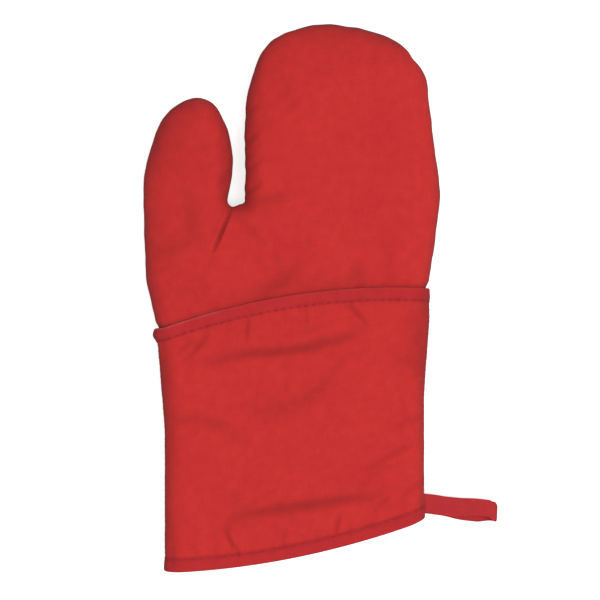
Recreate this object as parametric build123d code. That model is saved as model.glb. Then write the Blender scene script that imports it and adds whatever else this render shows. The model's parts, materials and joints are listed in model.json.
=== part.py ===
from build123d import *
import math
import os

# A padded cotton oven mitt lying flat on its back-of-hand panel, thumb towards -X, fingertips towards +Y.
# It is laid out from the middle of the wrist (x = 0) and the lowest point of the mouth (y = 0), resting on
# z = 0, and moved to its frame, the bottom centre of its bounding box, at the end. Millimetres throughout.

# Overall shape
THICKNESS = 26.0
RIM_RADIUS = 12.0
SIDE_WALL = 1.0
WRIST_WIDTH = 142.0
CROTCH_X = -33.0
CROTCH_Y = 199.0
CROTCH_GAP = 6.0
THUMB_WIDTH = 50.4
THUMB_LENGTH = 63.0
FINGER_WIDTH = 106.8
FINGER_LENGTH = 104.0

# Cuff: the heights of its two hem edges at the left side, the middle and the right side of the wrist
TOP_HEM = (132.5, 152.3, 155.6)
MOUTH = (0.2, 7.6, 27.8)
HEM_REACH = 5.0
HEM_WIDTH = 8.0
HEM_CLOTH = 1.25
PANEL_DROP = 0.5
BINDING = 1.0
FACING = 0.6

# Cloth layers of the hand, from the outside in
SHELL = 0.6
WADDING = 4.5
LINING = 0.5
LAYER_GAP = 0.05
SEAM_GAP = 0.04

# Sewing thread
STITCH_INSET = 6.9
STITCH_PITCH = 4.2
STITCH_LENGTH = 2.6
STITCH_WIDTH = 0.6
STITCH_SINK = 0.4
GROOVE_WIDTH = 1.2
THREAD = 0.3
SEAM_THREAD_DEPTH = 0.15
SEAM_THREAD_HEIGHT = 0.8
CHANNEL_CLEARANCE = 0.04

# Flex lines, where the padded cloth folds
FINGER_FOLD_RISE = 23.0
THUMB_FOLD_RISE = 12.0
FOLD_SLOT = 0.8

# Hanging loop, a folded tape caught in the side seam of the cuff
TAPE_WIDTH = 10.0
TAPE = 0.9
LOOP_LENGTH = 40.0
LOOP_EYE = 6.6
LOOP_ROOT_Y = 37.3
LOOP_TURN = -8.0
LOOP_DROOP = 12.0
LOOP_ROOT_GAP = 0.3
TAIL_PROUD = 0.3
TAIL_LENGTH = 8.0

# Worked out from the sizes above
MIDDLE = THICKNESS / 2
RIM = min(RIM_RADIUS, MIDDLE - SIDE_WALL)
CUFF_RECESS = HEM_CLOTH + LAYER_GAP
WADDING_DEPTH = SHELL + LAYER_GAP
LINING_DEPTH = WADDING_DEPTH + WADDING + LAYER_GAP
POCKET_DEPTH = LINING_DEPTH + LINING
FACING_DEPTH = CUFF_RECESS + POCKET_DEPTH + LAYER_GAP
SIDE = WRIST_WIDTH / 2
THUMB_OUT = CROTCH_X - THUMB_WIDTH
THUMB_TOP = CROTCH_Y + THUMB_LENGTH
FINGER_IN = CROTCH_X + CROTCH_GAP
FINGER_OUT = FINGER_IN + FINGER_WIDTH
FINGER_TOP = CROTCH_Y + FINGER_LENGTH
FINGER_FOLD_Y = CROTCH_Y + FINGER_FOLD_RISE
THUMB_FOLD = Vector(CROTCH_X - THUMB_FOLD_RISE * math.sqrt(0.5), CROTCH_Y + THUMB_FOLD_RISE * math.sqrt(0.5))
LOOP_ROOT_RADIUS = TAPE + 0.2
LOOP_PIVOT_X = SIDE + TAIL_PROUD + LOOP_ROOT_GAP + LOOP_ROOT_RADIUS
FAR = 400.0


def rounded_outline(corners):
    """A closed face through corners of (x, y, radius); no radius takes more than its sides allow."""
    points = [Vector(x, y) for x, y, _ in corners]
    radii = []
    for index, point in enumerate(points):
        before = points[index - 1] - point
        after = points[(index + 1) % len(points)] - point
        turn = math.pi - math.radians(before.get_angle(after))
        room = 0.48 * min(before.length, after.length) / math.tan(turn / 2)
        radii.append(min(corners[index][2], room))
    return make_face(FilletPolyline(*points, radius=radii, close=True))


def mitt_outline():
    """The mitt seen from above, run on below the mouth so that its lower corners are cut away later."""
    return rounded_outline([
        (-SIDE - 0.2, -40.0, 16.0),
        (-SIDE - 0.2, 78.0, 150.0),
        (-SIDE - 5.0, 136.0, 60.0),
        (THUMB_OUT + 1.6, 161.0, 60.0),
        (THUMB_OUT, THUMB_TOP - 45.0, 50.0),
        (THUMB_OUT + 12.9, THUMB_TOP - 5.5, 22.0),
        (CROTCH_X - 13.0, THUMB_TOP + 0.5, 13.0),
        (CROTCH_X + 0.2, CROTCH_Y + 30.0, 20.0),
        (CROTCH_X - 5.4, CROTCH_Y - 0.2, 4.8),
        (FINGER_IN + 0.1, CROTCH_Y + 2.6, 3.0),
        (FINGER_IN - 0.4, CROTCH_Y + 44.0, 60.0),
        (FINGER_IN + 0.8, FINGER_TOP - 39.0, 60.0),
        (FINGER_IN + 11.5, FINGER_TOP - 8.5, 26.0),
        (FINGER_IN + 47.0, FINGER_TOP + 0.2, 70.0),
        (FINGER_OUT - 10.0, FINGER_TOP - 16.0, 30.0),
        (FINGER_OUT, CROTCH_Y + 6.0, 45.0),
        (SIDE + 1.9, 158.0, 60.0),
        (SIDE + 2.7, 140.0, 60.0),
        (SIDE - 0.4, 98.0, 150.0),
        (SIDE - 0.4, -40.0, 16.0),
    ])


def pillow(inset, made={}):
    """The stuffed mitt as one cushion with rounded rims, drawn in on every side by `inset`."""
    if inset not in made:
        block = extrude(offset(mitt_outline(), -inset), THICKNESS - 2 * inset)
        rims = block.faces().sort_by(Axis.Z)[0].edges() + block.faces().sort_by(Axis.Z)[-1].edges()
        made[inset] = Pos(0, 0, inset) * fillet(rims, RIM - inset)
    return made[inset]


def hem_line(heights, shift=0.0):
    """One hem edge of the cuff, an arc through its three heights, moved towards the fingers by `shift`."""
    reach = SIDE + HEM_REACH
    left, middle, right = [height + shift for height in heights]
    return ThreePointArc((-reach, left), (0, middle), (reach, right))


def above(heights, shift=0.0):
    """Everything on the finger side of a hem line."""
    line = hem_line(heights, shift)
    start, end = line @ 0, line @ 1
    rest = Polyline(end, (FAR, end.Y), (FAR, FAR), (-FAR, FAR), (-FAR, start.Y), start)
    return Pos(0, 0, -FAR / 2) * extrude(make_face(Curve() + [line, rest]), FAR)


def stuffed(inset):
    """The mitt without its cuff, drawn in by `inset`, and by the cuff's recess more below the top hem."""
    return (pillow(inset) & above(TOP_HEM, inset)) + pillow(inset + CUFF_RECESS)


def layer(depth, thickness):
    """One cloth layer of the whole hand, from `depth` inwards, open at the mouth."""
    return (stuffed(depth) - stuffed(depth + thickness)) & above(MOUTH, BINDING + LAYER_GAP)


def slab(low, high):
    """Everything between two heights."""
    return Pos(0, 0, (low + high) / 2) * Box(2 * FAR, 2 * FAR, high - low)


def panels(body):
    """The front and the back panel of a hollow body, parted along the side seam."""
    front = body & slab(MIDDLE + SEAM_GAP / 2, THICKNESS + 1)
    back = body & slab(-1, MIDDLE - SEAM_GAP / 2)
    return {"front": front, "back": back}


def zones():
    """The three parts of the hand that flex against each other, as tall prisms parted by the fold slots."""
    notch = CROTCH_X + CROTCH_GAP / 2
    half = FOLD_SLOT / 2
    diagonal = half * math.sqrt(2)
    fold_at_notch = THUMB_FOLD.Y + notch - THUMB_FOLD.X
    fold_far_left = THUMB_FOLD.Y - FAR - THUMB_FOLD.X
    hand = Polyline((-FAR, -FAR), (FAR, -FAR), (FAR, FINGER_FOLD_Y - half), (notch, FINGER_FOLD_Y - half),
                    (notch, fold_at_notch - diagonal), (-FAR, fold_far_left - diagonal), close=True)
    finger = Polyline((notch, FINGER_FOLD_Y + half), (FAR, FINGER_FOLD_Y + half), (FAR, FAR), (notch, FAR),
                      close=True)
    thumb = Polyline((-FAR, fold_far_left + diagonal), (notch, fold_at_notch + diagonal), (notch, FAR),
                     (-FAR, FAR), close=True)
    outlines = {"hand": hand, "finger": finger, "thumb": thumb}
    return {name: Pos(0, 0, -FAR / 2) * extrude(make_face(line), FAR) for name, line in outlines.items()}


def seam_ring(depth, clearance):
    """The sewing thread of the side seam, or with a clearance the channel that it lies in."""
    low = depth + SEAM_THREAD_DEPTH
    height = SEAM_THREAD_HEIGHT / 2 + clearance
    ring = stuffed(low - clearance) - stuffed(low + THREAD + clearance)
    return ring & above(MOUTH, BINDING + LAYER_GAP) & slab(MIDDLE - height, MIDDLE + height)


def cuff_body():
    """The cuff: a cloth sleeve with a thick hem at each edge, turned in round the mouth as a facing."""
    sleeve = pillow(0.0) - pillow(HEM_CLOTH)
    sleeve -= (pillow(0.0) - pillow(PANEL_DROP)) & above(MOUTH, HEM_WIDTH) - above(TOP_HEM, -HEM_WIDTH)
    facing = (pillow(FACING_DEPTH) - pillow(FACING_DEPTH + FACING)) - above(MOUTH, HEM_WIDTH)
    turned_edge = (pillow(0.0) - pillow(FACING_DEPTH + FACING)) - above(MOUTH, BINDING)
    return (sleeve + facing + turned_edge) & above(MOUTH) - above(TOP_HEM, -LAYER_GAP)


def cuff_seam_ring(clearance):
    """The thread that closes the two sides of the cuff, or with a clearance its channel."""
    low = PANEL_DROP + SEAM_THREAD_DEPTH
    height = SEAM_THREAD_HEIGHT / 2 + clearance
    ring = pillow(low - clearance) - pillow(low + THREAD + clearance)
    between_hems = above(MOUTH, HEM_WIDTH - clearance) - above(TOP_HEM, clearance - HEM_WIDTH)
    return ring & between_hems & slab(MIDDLE - height, MIDDLE + height)


def stitch_rows():
    """The stitch line of each hem edge: its node name and its height above or below that edge."""
    return {"top_hem_stitches": (TOP_HEM, -STITCH_INSET), "mouth_hem_stitches": (MOUTH, STITCH_INSET)}


def groove(heights, shift, face_z):
    """The shallow channel that a row of stitches pulls into the face of a hem."""
    strip = above(heights, shift - GROOVE_WIDTH / 2) - above(heights, shift + GROOVE_WIDTH / 2)
    flat = Box(2 * (SIDE - RIM), 2 * FAR, 2 * STITCH_SINK)
    return strip & Pos(0, 0, face_z) * flat


def stitches(heights, shift, face_z, inwards):
    """One row of separate stitches along a hem, lying in its groove just below the cloth's face."""
    line = hem_line(heights, shift)
    flat = SIDE - RIM - STITCH_LENGTH
    count = int(line.length / STITCH_PITCH)
    bars = []
    for index in range(count):
        place = line @ ((index + 0.5) / count)
        tangent = line % ((index + 0.5) / count)
        if abs(place.X) < flat:
            turn = math.degrees(math.atan2(tangent.Y, tangent.X))
            centre_z = face_z + inwards * (STITCH_SINK - THREAD / 2 - 0.02)
            bar = Box(STITCH_LENGTH, STITCH_WIDTH, THREAD)
            bars.append(Pos(place.X, place.Y, centre_z) * Rot(0, 0, turn) * bar)
    return Compound(children=bars)


def loop_place():
    """Where the loop's own axes lie: X out along the loop, Y across the tape, origin on the pivot."""
    return Pos(LOOP_PIVOT_X, LOOP_ROOT_Y, MIDDLE) * Rot(0, 0, LOOP_TURN)


def hanging_loop():
    """The folded tape outside the seam: two legs that part into an open eye."""
    half = LOOP_EYE / 2 + TAPE
    root = LOOP_ROOT_RADIUS
    edge = rounded_outline([
        (-root, root, root * 0.9),
        (LOOP_LENGTH * 0.6, half, 60.0),
        (LOOP_LENGTH, half, half * 0.95),
        (LOOP_LENGTH, -half, half * 0.95),
        (LOOP_LENGTH * 0.6, -half, 60.0),
        (-root, -root, root * 0.9),
    ])
    band = extrude(edge - offset(edge, -TAPE), TAPE_WIDTH / 2, both=True)
    return loop_place() * Rot(0, LOOP_DROOP, 0) * Rot(90, 0, 0) * band


def loop_tails(clearance):
    """The two tape ends sewn into the side seam, or with a clearance the slot that they pass through."""
    length = TAIL_LENGTH + TAIL_PROUD
    box = Box(length + 2 * clearance, TAPE_WIDTH + 2 * clearance, 2 * (TAPE + clearance))
    return loop_place() * Pos(-LOOP_ROOT_RADIUS - LOOP_ROOT_GAP - length / 2, 0, 0) * box


def hand_nodes():
    """Shell, wadding, lining and side-seam thread of the hand, the fingers and the thumb."""
    nodes = {}
    areas = zones()
    slot = loop_tails(LAYER_GAP)
    shell = layer(0.0, SHELL) - seam_ring(0.0, CHANNEL_CLEARANCE)
    layers = {"shell": shell, "wadding": layer(WADDING_DEPTH, WADDING), "lining": layer(LINING_DEPTH, LINING)}
    for layer_name, body in layers.items():
        for side, panel in panels(body - slot).items():
            for area_name, area in areas.items():
                nodes[f"{area_name}_{layer_name}_{side}"] = panel & area
    thread = seam_ring(0.0, 0.0) - slot
    for area_name, area in areas.items():
        nodes[f"{area_name}_seam_thread"] = thread & area
    return nodes


def cuff_nodes():
    """The two cuff panels, the thread of their side seams and the stitch rows of both hems."""
    nodes = {}
    slot = loop_tails(LAYER_GAP)
    faces = {"front": (THICKNESS, -1), "back": (0.0, 1)}
    body = cuff_body() - cuff_seam_ring(CHANNEL_CLEARANCE) - slot
    for side, panel in panels(body).items():
        face_z, inwards = faces[side]
        for row_name, (heights, shift) in stitch_rows().items():
            panel -= groove(heights, shift, face_z)
            nodes[f"{row_name}_{side}"] = stitches(heights, shift, face_z, inwards)
        nodes[f"cuff_{side}"] = panel
    nodes["cuff_seam_thread"] = cuff_seam_ring(0.0) - slot
    return nodes


def main():
    """Build every node, move the whole mitt to its frame and write one STEP file per node."""
    nodes = {**hand_nodes(), **cuff_nodes(), "loop_tails": loop_tails(0.0), "hanging_loop": hanging_loop()}
    boxes = [node.bounding_box() for node in nodes.values()]
    low_x, high_x = min(box.min.X for box in boxes), max(box.max.X for box in boxes)
    low_y, high_y = min(box.min.Y for box in boxes), max(box.max.Y for box in boxes)
    low_z = min(box.min.Z for box in boxes)
    to_frame = Pos(-(low_x + high_x) / 2, -(low_y + high_y) / 2, -low_z)
    os.makedirs("parts", exist_ok=True)
    for name, node in nodes.items():
        export_step(to_frame * node, f"parts/{name}.step")
    print("moved by", -(low_x + high_x) / 2, -(low_y + high_y) / 2, -low_z)
    print("finger fold at", FINGER_FOLD_Y, "thumb fold at", THUMB_FOLD, "loop pivot at", LOOP_PIVOT_X)


main()
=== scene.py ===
"""A padded red cotton oven mitt lying flat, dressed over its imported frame.

Lengths are worked out in millimetres from the middle of the wrist (x) and the lowest point of the mouth (y),
with the table at z = 0, and are moved to the frame, in metres, when a mesh is made.
"""

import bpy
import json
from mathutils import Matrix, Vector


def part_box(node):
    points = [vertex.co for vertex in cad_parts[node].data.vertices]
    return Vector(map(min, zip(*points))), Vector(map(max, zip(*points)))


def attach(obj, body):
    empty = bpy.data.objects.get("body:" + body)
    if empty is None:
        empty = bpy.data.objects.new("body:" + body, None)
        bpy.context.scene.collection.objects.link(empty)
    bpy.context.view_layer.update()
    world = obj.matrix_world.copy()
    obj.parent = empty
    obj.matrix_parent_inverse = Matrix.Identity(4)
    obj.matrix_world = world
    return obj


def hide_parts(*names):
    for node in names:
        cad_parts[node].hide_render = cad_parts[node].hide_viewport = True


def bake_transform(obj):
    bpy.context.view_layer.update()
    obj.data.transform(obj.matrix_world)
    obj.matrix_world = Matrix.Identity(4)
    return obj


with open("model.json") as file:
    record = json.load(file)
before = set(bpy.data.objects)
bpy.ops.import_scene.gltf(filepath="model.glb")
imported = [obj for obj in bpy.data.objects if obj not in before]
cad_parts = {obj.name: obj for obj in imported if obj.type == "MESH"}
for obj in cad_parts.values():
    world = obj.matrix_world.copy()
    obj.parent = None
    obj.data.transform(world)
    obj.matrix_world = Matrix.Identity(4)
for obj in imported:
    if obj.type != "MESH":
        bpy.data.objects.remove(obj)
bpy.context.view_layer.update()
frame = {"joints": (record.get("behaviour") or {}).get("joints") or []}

import json
import logging
import math
from dataclasses import dataclass
from enum import Enum

import bpy
import numpy as np
from mathutils import Vector
from mathutils.geometry import delaunay_2d_cdt

Array = np.ndarray
Line = tuple[tuple[float, float], ...]
LOG = logging.getLogger("mitt")
MILLIMETRE = 0.001
SEAM_STITCH = 1.5  # length of a stitch across a side seam
THREAD_RADIUS = 0.2


class Side(Enum):
    """The two cloth panels: the front is the palm side, which faces up."""

    FRONT = 1
    BACK = -1


class Area(Enum):
    """The two parts of a hand panel, parted by the line from the crotch to the wrist."""

    HAND = "hand"
    THUMB = "thumb"


# ---------------------------------------------------------------------------------------------------- helpers


def smooth_step(value: Array, low: float, high: float) -> Array:
    """An S-curve from 0 at `low` to 1 at `high`: 3t^2 - 2t^3 of the clipped share t."""
    share = np.clip((value - low) / (high - low), 0.0, 1.0)
    return share * share * (3.0 - 2.0 * share)


def bell(value: Array, width: float) -> Array:
    """A bell curve of height 1: e to the minus (value / width) squared."""
    return np.exp(-((value / width) ** 2))


def ripple(value: Array, pitch: float, seed: float = 0.0) -> Array:
    """An uneven wave between about -1 and 1: three sines whose pitches share no common multiple.

    Args:
        value: where along the wave.
        pitch: the first sine's pitch.
        seed: what shifts the wave, so that two places don't match.

    Returns:
        The wave's height at each value.
    """
    turn = 2.0 * math.pi / pitch
    waves = np.sin(turn * value + seed) + 0.7 * np.sin(0.618 * turn * value + 2.1 * seed + 1.0)
    return (waves + 0.5 * np.sin(1.73 * turn * value + 3.7 * seed + 2.0)) / 2.2


def resample(line: Array, step: float) -> Array:
    """Points spread evenly along a polyline, ends kept.

    Args:
        line: the polyline's points, one a row.
        step: the spacing wanted.

    Returns:
        The new points.
    """
    length = np.concatenate([[0.0], np.cumsum(np.linalg.norm(np.diff(line, axis=0), axis=1))])
    count = max(2, int(round(length[-1] / step)) + 1)
    at = np.linspace(0.0, length[-1], count)
    return np.column_stack([np.interp(at, length, line[:, axis]) for axis in range(line.shape[1])])


def along_line(points: Array, line: Array) -> tuple[Array, Array, Array]:
    """Where points lie against a polyline: distance to it, share of its length, and side of it.

    Args:
        points: (n, 2) points.
        line: (m, 2) polyline.

    Returns:
        The distance (positive on the left), the nearest point's share of the length, the nearest point.
    """
    start, run = line[:-1], np.diff(line, axis=0)
    length = np.linalg.norm(run, axis=1)
    before = np.concatenate([[0.0], np.cumsum(length)])
    offset = points[:, None, :] - start[None]
    share = np.clip((offset * run).sum(2) / (length**2), 0.0, 1.0)
    nearest = start + share[..., None] * run
    gap = np.linalg.norm(points[:, None, :] - nearest, axis=2)
    best = gap.argmin(1)
    row = np.arange(len(points))
    cross = run[best, 0] * offset[row, best, 1] - run[best, 1] * offset[row, best, 0]
    distance = gap[row, best] * np.where(cross < 0, -1.0, 1.0)
    return distance, (before[best] + share[row, best] * length[best]) / before[-1], nearest[row, best]


def curve_through(points: Line | list[tuple[float, float]], step: float = 1.0) -> Array:
    """A smooth curve through a few points: Catmull-Rom spans, sampled as whole arrays.

    Args:
        points: the points to pass through.
        step: the spacing of the samples.

    Returns:
        The sampled curve.
    """
    knots = np.array(points, float)
    knots = np.vstack([2 * knots[0] - knots[1], knots, 2 * knots[-1] - knots[-2]])
    share = np.linspace(0.0, 1.0, 12, endpoint=False)[:, None, None]
    a, b, c, d = knots[:-3], knots[1:-2], knots[2:-1], knots[3:]
    spans = 0.5 * (2 * b + (c - a) * share + (2 * a - 5 * b + 4 * c - d) * share**2
                   + (3 * b - a - 3 * c + d) * share**3)
    line = np.vstack([spans.transpose(1, 0, 2).reshape(-1, knots.shape[1]), knots[-2:-1]])
    return resample(line, step)


def grid_faces(rows: int, columns: int, closed_rows: bool = False, closed_columns: bool = False) -> Array:
    """Four-sided faces of a grid whose vertices run row by row, wrapped round where it is closed.

    Args:
        rows: the number of rows of vertices.
        columns: the vertices in a row.
        closed_rows: whether the last row joins the first.
        closed_columns: whether each row's end joins its start.

    Returns:
        The faces, as rows of four vertex numbers.
    """
    row = np.arange(rows if closed_rows else rows - 1)
    column = np.arange(columns if closed_columns else columns - 1)
    r, c = np.meshgrid(row, column, indexing="ij")
    r_next, c_next = (r + 1) % rows, (c + 1) % columns
    this, next_row = r * columns, r_next * columns
    return np.stack([this + c, this + c_next, next_row + c_next, next_row + c], -1).reshape(-1, 4)


def corner_normals(points: Array, faces: Array) -> Array:
    """Area-weighted vertex normals: each face's normal is added to its corners and the sum made unit long.

    Args:
        points: the vertices.
        faces: the faces, all with as many corners.

    Returns:
        A unit normal for each vertex.
    """
    ring = points[faces]
    normal = np.cross(ring[:, 2] - ring[:, 0], ring[:, -1] - ring[:, 1])
    total = np.zeros_like(points)
    for corner in range(faces.shape[1]):
        np.add.at(total, faces[:, corner], normal)
    return total / np.maximum(np.linalg.norm(total, axis=1, keepdims=True), 1e-12)


def rim_edges(faces: Array) -> Array:
    """The directed edges that only one face has.

    Args:
        faces: the faces, all with as many corners.

    Returns:
        The edges, as pairs of vertex numbers.
    """
    start, end = faces.ravel(), np.roll(faces, -1, axis=1).ravel()
    size = int(faces.max()) + 1
    alone = ~np.isin(start * size + end, end * size + start)
    return np.column_stack([start[alone], end[alone]])


def relax(points: Array, faces: Array, rounds: int) -> Array:
    """Smooths a surface by moving each point halfway to the mean of its neighbours, its rim held.

    Args:
        points: the vertices.
        faces: the faces.
        rounds: how often it is done.

    Returns:
        The smoothed points.
    """
    start, end = faces.ravel(), np.roll(faces, -1, axis=1).ravel()
    count = np.bincount(start, minlength=len(points)).astype(float)[:, None]
    held = np.zeros(len(points), bool)
    held[rim_edges(faces).ravel()] = True
    for _ in range(rounds):
        total = np.zeros_like(points)
        np.add.at(total, start, points[end])
        moved = 0.5 * points + 0.5 * total / np.maximum(count, 1.0)
        points = np.where(held[:, None] | (count < 1.0), points, moved)
    return points


# ------------------------------------------------------------------------------------------------ the pattern


@dataclass(frozen=True)
class Pattern:
    """The mitt's outline and hem levels, in millimetres, and its place in the frame."""

    half_wrist: float = 71.0
    crotch: tuple[float, float] = (-33.0, 199.0)
    crotch_gap: float = 6.0
    thumb_width: float = 50.4
    thumb_length: float = 63.0
    finger_width: float = 106.8
    finger_length: float = 104.0
    thickness: float = 26.0
    rim_radius: float = 12.0
    top_hem_levels: tuple[float, float, float] = (132.5, 152.3, 155.6)
    mouth_levels: tuple[float, float, float] = (0.6, 9.1, 31.2)
    hem_reach: float = 5.0
    corner_flick: float = 1.5

    @property
    def middle(self) -> float:
        """Height of the side seam above the table."""
        return self.thickness / 2.0

    def corners(self) -> Array:
        """The outline's corners as rows of x, y and rounding radius, from the left of the mouth clockwise.

        Returns:
            The corners, with the mitt's middle at x = 0 and the mouth's lowest point at y = 0.
        """
        side, (x, y) = self.half_wrist, self.crotch
        thumb_out, thumb_top = x - self.thumb_width, y + self.thumb_length
        finger_in, finger_top = x + self.crotch_gap, y + self.finger_length
        finger_out = finger_in + self.finger_width
        return np.array([
            (-side - 0.2, -40.0, 1.0), (-side - 0.2, 78.0, 150.0), (-side - 5.0, 136.0, 60.0),
            (thumb_out + 1.6, 161.0, 60.0), (thumb_out, thumb_top - 45.0, 50.0),
            (thumb_out + 12.9, thumb_top - 5.5, 22.0), (x - 13.0, thumb_top + 0.5, 13.0),
            (x + 0.6, y + 31.0, 55.0), (x - 5.4, y - 0.2, 4.8), (finger_in + 0.1, y + 2.6, 3.0),
            (finger_in - 0.4, y + 44.0, 60.0), (finger_in + 0.8, finger_top - 39.0, 60.0),
            (finger_in + 11.5, finger_top - 8.5, 26.0), (finger_in + 47.0, finger_top + 0.2, 70.0),
            (finger_out - 10.0, finger_top - 16.0, 30.0), (finger_out, y + 6.0, 45.0),
            (side + 1.9, 158.0, 60.0), (side + 2.7, 140.0, 60.0), (side - 0.4, 98.0, 150.0),
            (side - 0.4, -40.0, 1.0),
        ])

    def outline(self, step: float) -> Array:
        """The rounded outline: at each corner an arc tangent to both sides, then spread evenly.

        Args:
            step: the spacing of the points.

        Returns:
            Points from the left of the mouth over the thumb and the fingers to the right of the mouth.
        """
        rows = self.corners()
        point, radius = rows[:, :2], rows[:, 2]
        back, ahead = np.roll(point, 1, 0) - point, np.roll(point, -1, 0) - point
        back_length, ahead_length = np.linalg.norm(back, axis=1), np.linalg.norm(ahead, axis=1)
        back, ahead = back / back_length[:, None], ahead / ahead_length[:, None]
        half_angle = 0.5 * np.arccos(np.clip((back * ahead).sum(1), -1.0, 1.0))
        cut = np.minimum(radius / np.tan(half_angle), 0.48 * np.minimum(back_length, ahead_length))
        radius = cut * np.tan(half_angle)
        bisector = back + ahead
        bisector /= np.linalg.norm(bisector, axis=1, keepdims=True)
        centre = point + bisector * (radius / np.sin(half_angle))[:, None]
        first, last = point + back * cut[:, None] - centre, point + ahead * cut[:, None] - centre
        swing = np.arctan2(first[:, 0] * last[:, 1] - first[:, 1] * last[:, 0], (first * last).sum(1))
        angle = np.linspace(0.0, 1.0, 24)[None] * swing[:, None]
        cosine, sine = np.cos(angle), np.sin(angle)
        arc_x = centre[:, :1] + first[:, :1] * cosine - first[:, 1:] * sine
        arc_y = centre[:, 1:] + first[:, :1] * sine + first[:, 1:] * cosine
        return resample(np.column_stack([arc_x.ravel(), arc_y.ravel()]), step)

    def level(self, heights: tuple[float, float, float], x: Array) -> Array:
        """Height of a hem edge at x: the parabola through its left, middle and right heights.

        Args:
            heights: the edge's height at the left, in the middle and at the right.
            x: where it is wanted.

        Returns:
            The edge's height there.
        """
        left, middle, right = heights
        share = x / (self.half_wrist + self.hem_reach)
        return middle + 0.5 * (right - left) * share + (0.5 * (left + right) - middle) * share**2

    def top_hem(self, x: Array) -> Array:
        """Height of the cuff's upper edge at x."""
        return self.level(self.top_hem_levels, x) + self.corner_flick * bell(x + self.half_wrist + 6.5, 4.0)

    def mouth(self, x: Array) -> Array:
        """Height of the cuff's lower edge at x."""
        return self.level(self.mouth_levels, x)

    def shift(self) -> Array:
        """What moves a pattern point to the frame, so that fingertips and thumb meet the frame's.

        Returns:
            The move, in millimetres.
        """
        line = self.outline(1.0)
        low_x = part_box("thumb_shell_front")[0].x / MILLIMETRE
        high_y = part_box("finger_shell_front")[1].y / MILLIMETRE
        return np.array([low_x - line[:, 0].min(), high_y - line[:, 1].max(), 0.0])

    def to_frame(self, points: Array) -> Array:
        """Pattern points in the frame's metres."""
        return (points + SHIFT) * MILLIMETRE

    def rim_height(self, inwards: Array, depth: float = 0.0) -> Array:
        """Half the thickness at a distance inside the seam: a short wall, a quarter circle, then flat.

        Args:
            inwards: the distance inside the seam.
            depth: how far below the outer surface.

        Returns:
            The height above the seam.
        """
        radius = self.rim_radius - depth
        reach = np.clip(inwards, 0.0, radius)
        return self.middle - self.rim_radius + np.sqrt(np.maximum(radius**2 - (radius - reach) ** 2, 0.0))


PATTERN = Pattern()
SHIFT = PATTERN.shift()


# ------------------------------------------------------------------------------------------------- finishes


class ShaderGroups:
    """The node groups that several finishes share, each made once."""

    @staticmethod
    def _group(name: str, inputs: dict[str, tuple[str, float | None]],
               outputs: dict[str, str]) -> bpy.types.NodeTree:
        """An empty group with named sockets.

        Args:
            name: the group's name.
            inputs: each input's socket kind and default value.
            outputs: each output's socket kind.

        Returns:
            The node tree, with its input and output nodes in it.
        """
        tree = bpy.data.node_groups.new(name, "ShaderNodeTree")
        for label, (kind, default) in inputs.items():
            socket = tree.interface.new_socket(label, in_out="INPUT", socket_type=kind)
            if default is not None:
                socket.default_value = default
        for label, kind in outputs.items():
            tree.interface.new_socket(label, in_out="OUTPUT", socket_type=kind)
        tree.nodes.new("NodeGroupInput").name = "in"
        tree.nodes.new("NodeGroupOutput").name = "out"
        return tree

    @classmethod
    def weave(cls) -> bpy.types.NodeTree:
        """Plain weave: warp and weft threads that pass over each other in turn.

        Returns:
            A group that takes a place on the cloth in metres and gives the threads' Height and a
            Shade that differs a little from thread to thread.
        """
        if "plain weave" in bpy.data.node_groups:
            return bpy.data.node_groups["plain weave"]
        number, place = "NodeSocketFloat", "NodeSocketVector"
        tree = cls._group("plain weave", {"Place": (place, None), "Pitch": (number, 0.0005)},
                          {"Height": number, "Shade": number})
        build = NodeBuilder(tree)
        source = tree.nodes["in"].outputs
        x, y, _ = build.split(source["Place"])
        across = build.math("DIVIDE", x, source["Pitch"])
        up = build.math("DIVIDE", y, source["Pitch"])
        wave_x = build.math("SINE", build.math("MULTIPLY", across, math.pi))
        wave_y = build.math("SINE", build.math("MULTIPLY", up, math.pi))
        over = build.math("MULTIPLY", wave_x, wave_y)
        warp = build.math("ABSOLUTE", build.math("COSINE", build.math("MULTIPLY", across, math.pi)))
        weft = build.math("ABSOLUTE", build.math("COSINE", build.math("MULTIPLY", up, math.pi)))
        lift = build.math("MULTIPLY_ADD", over, 0.5, 0.5)
        threads = build.mix_value(lift, weft, warp)
        slub_x = build.noise(build.scale(source["Place"], (1800.0, 130.0, 1.0)), 1.0, 2.0)
        slub_y = build.noise(build.scale(source["Place"], (130.0, 1800.0, 1.0)), 1.0, 2.0)
        shade = build.mix_value(0.5, slub_x, slub_y)
        build.link(build.math("MULTIPLY_ADD", slub_x, 0.6, threads), tree.nodes["out"].inputs["Height"])
        build.link(shade, tree.nodes["out"].inputs["Shade"])
        return tree

    @classmethod
    def mottle(cls) -> bpy.types.NodeTree:
        """Uneven dyeing: broad soft patches and a finer clouding, as one value about 0.5.

        Returns:
            A group that takes a place in metres and gives the Value.
        """
        if "uneven dye" in bpy.data.node_groups:
            return bpy.data.node_groups["uneven dye"]
        tree = cls._group("uneven dye", {"Place": ("NodeSocketVector", None)}, {"Value": "NodeSocketFloat"})
        build = NodeBuilder(tree)
        place = tree.nodes["in"].outputs["Place"]
        broad = build.noise(place, 32.0, 2.0)
        fine = build.noise(place, 170.0, 5.0)
        build.link(build.mix_value(0.6, broad, fine), tree.nodes["out"].inputs["Value"])
        return tree


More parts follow.
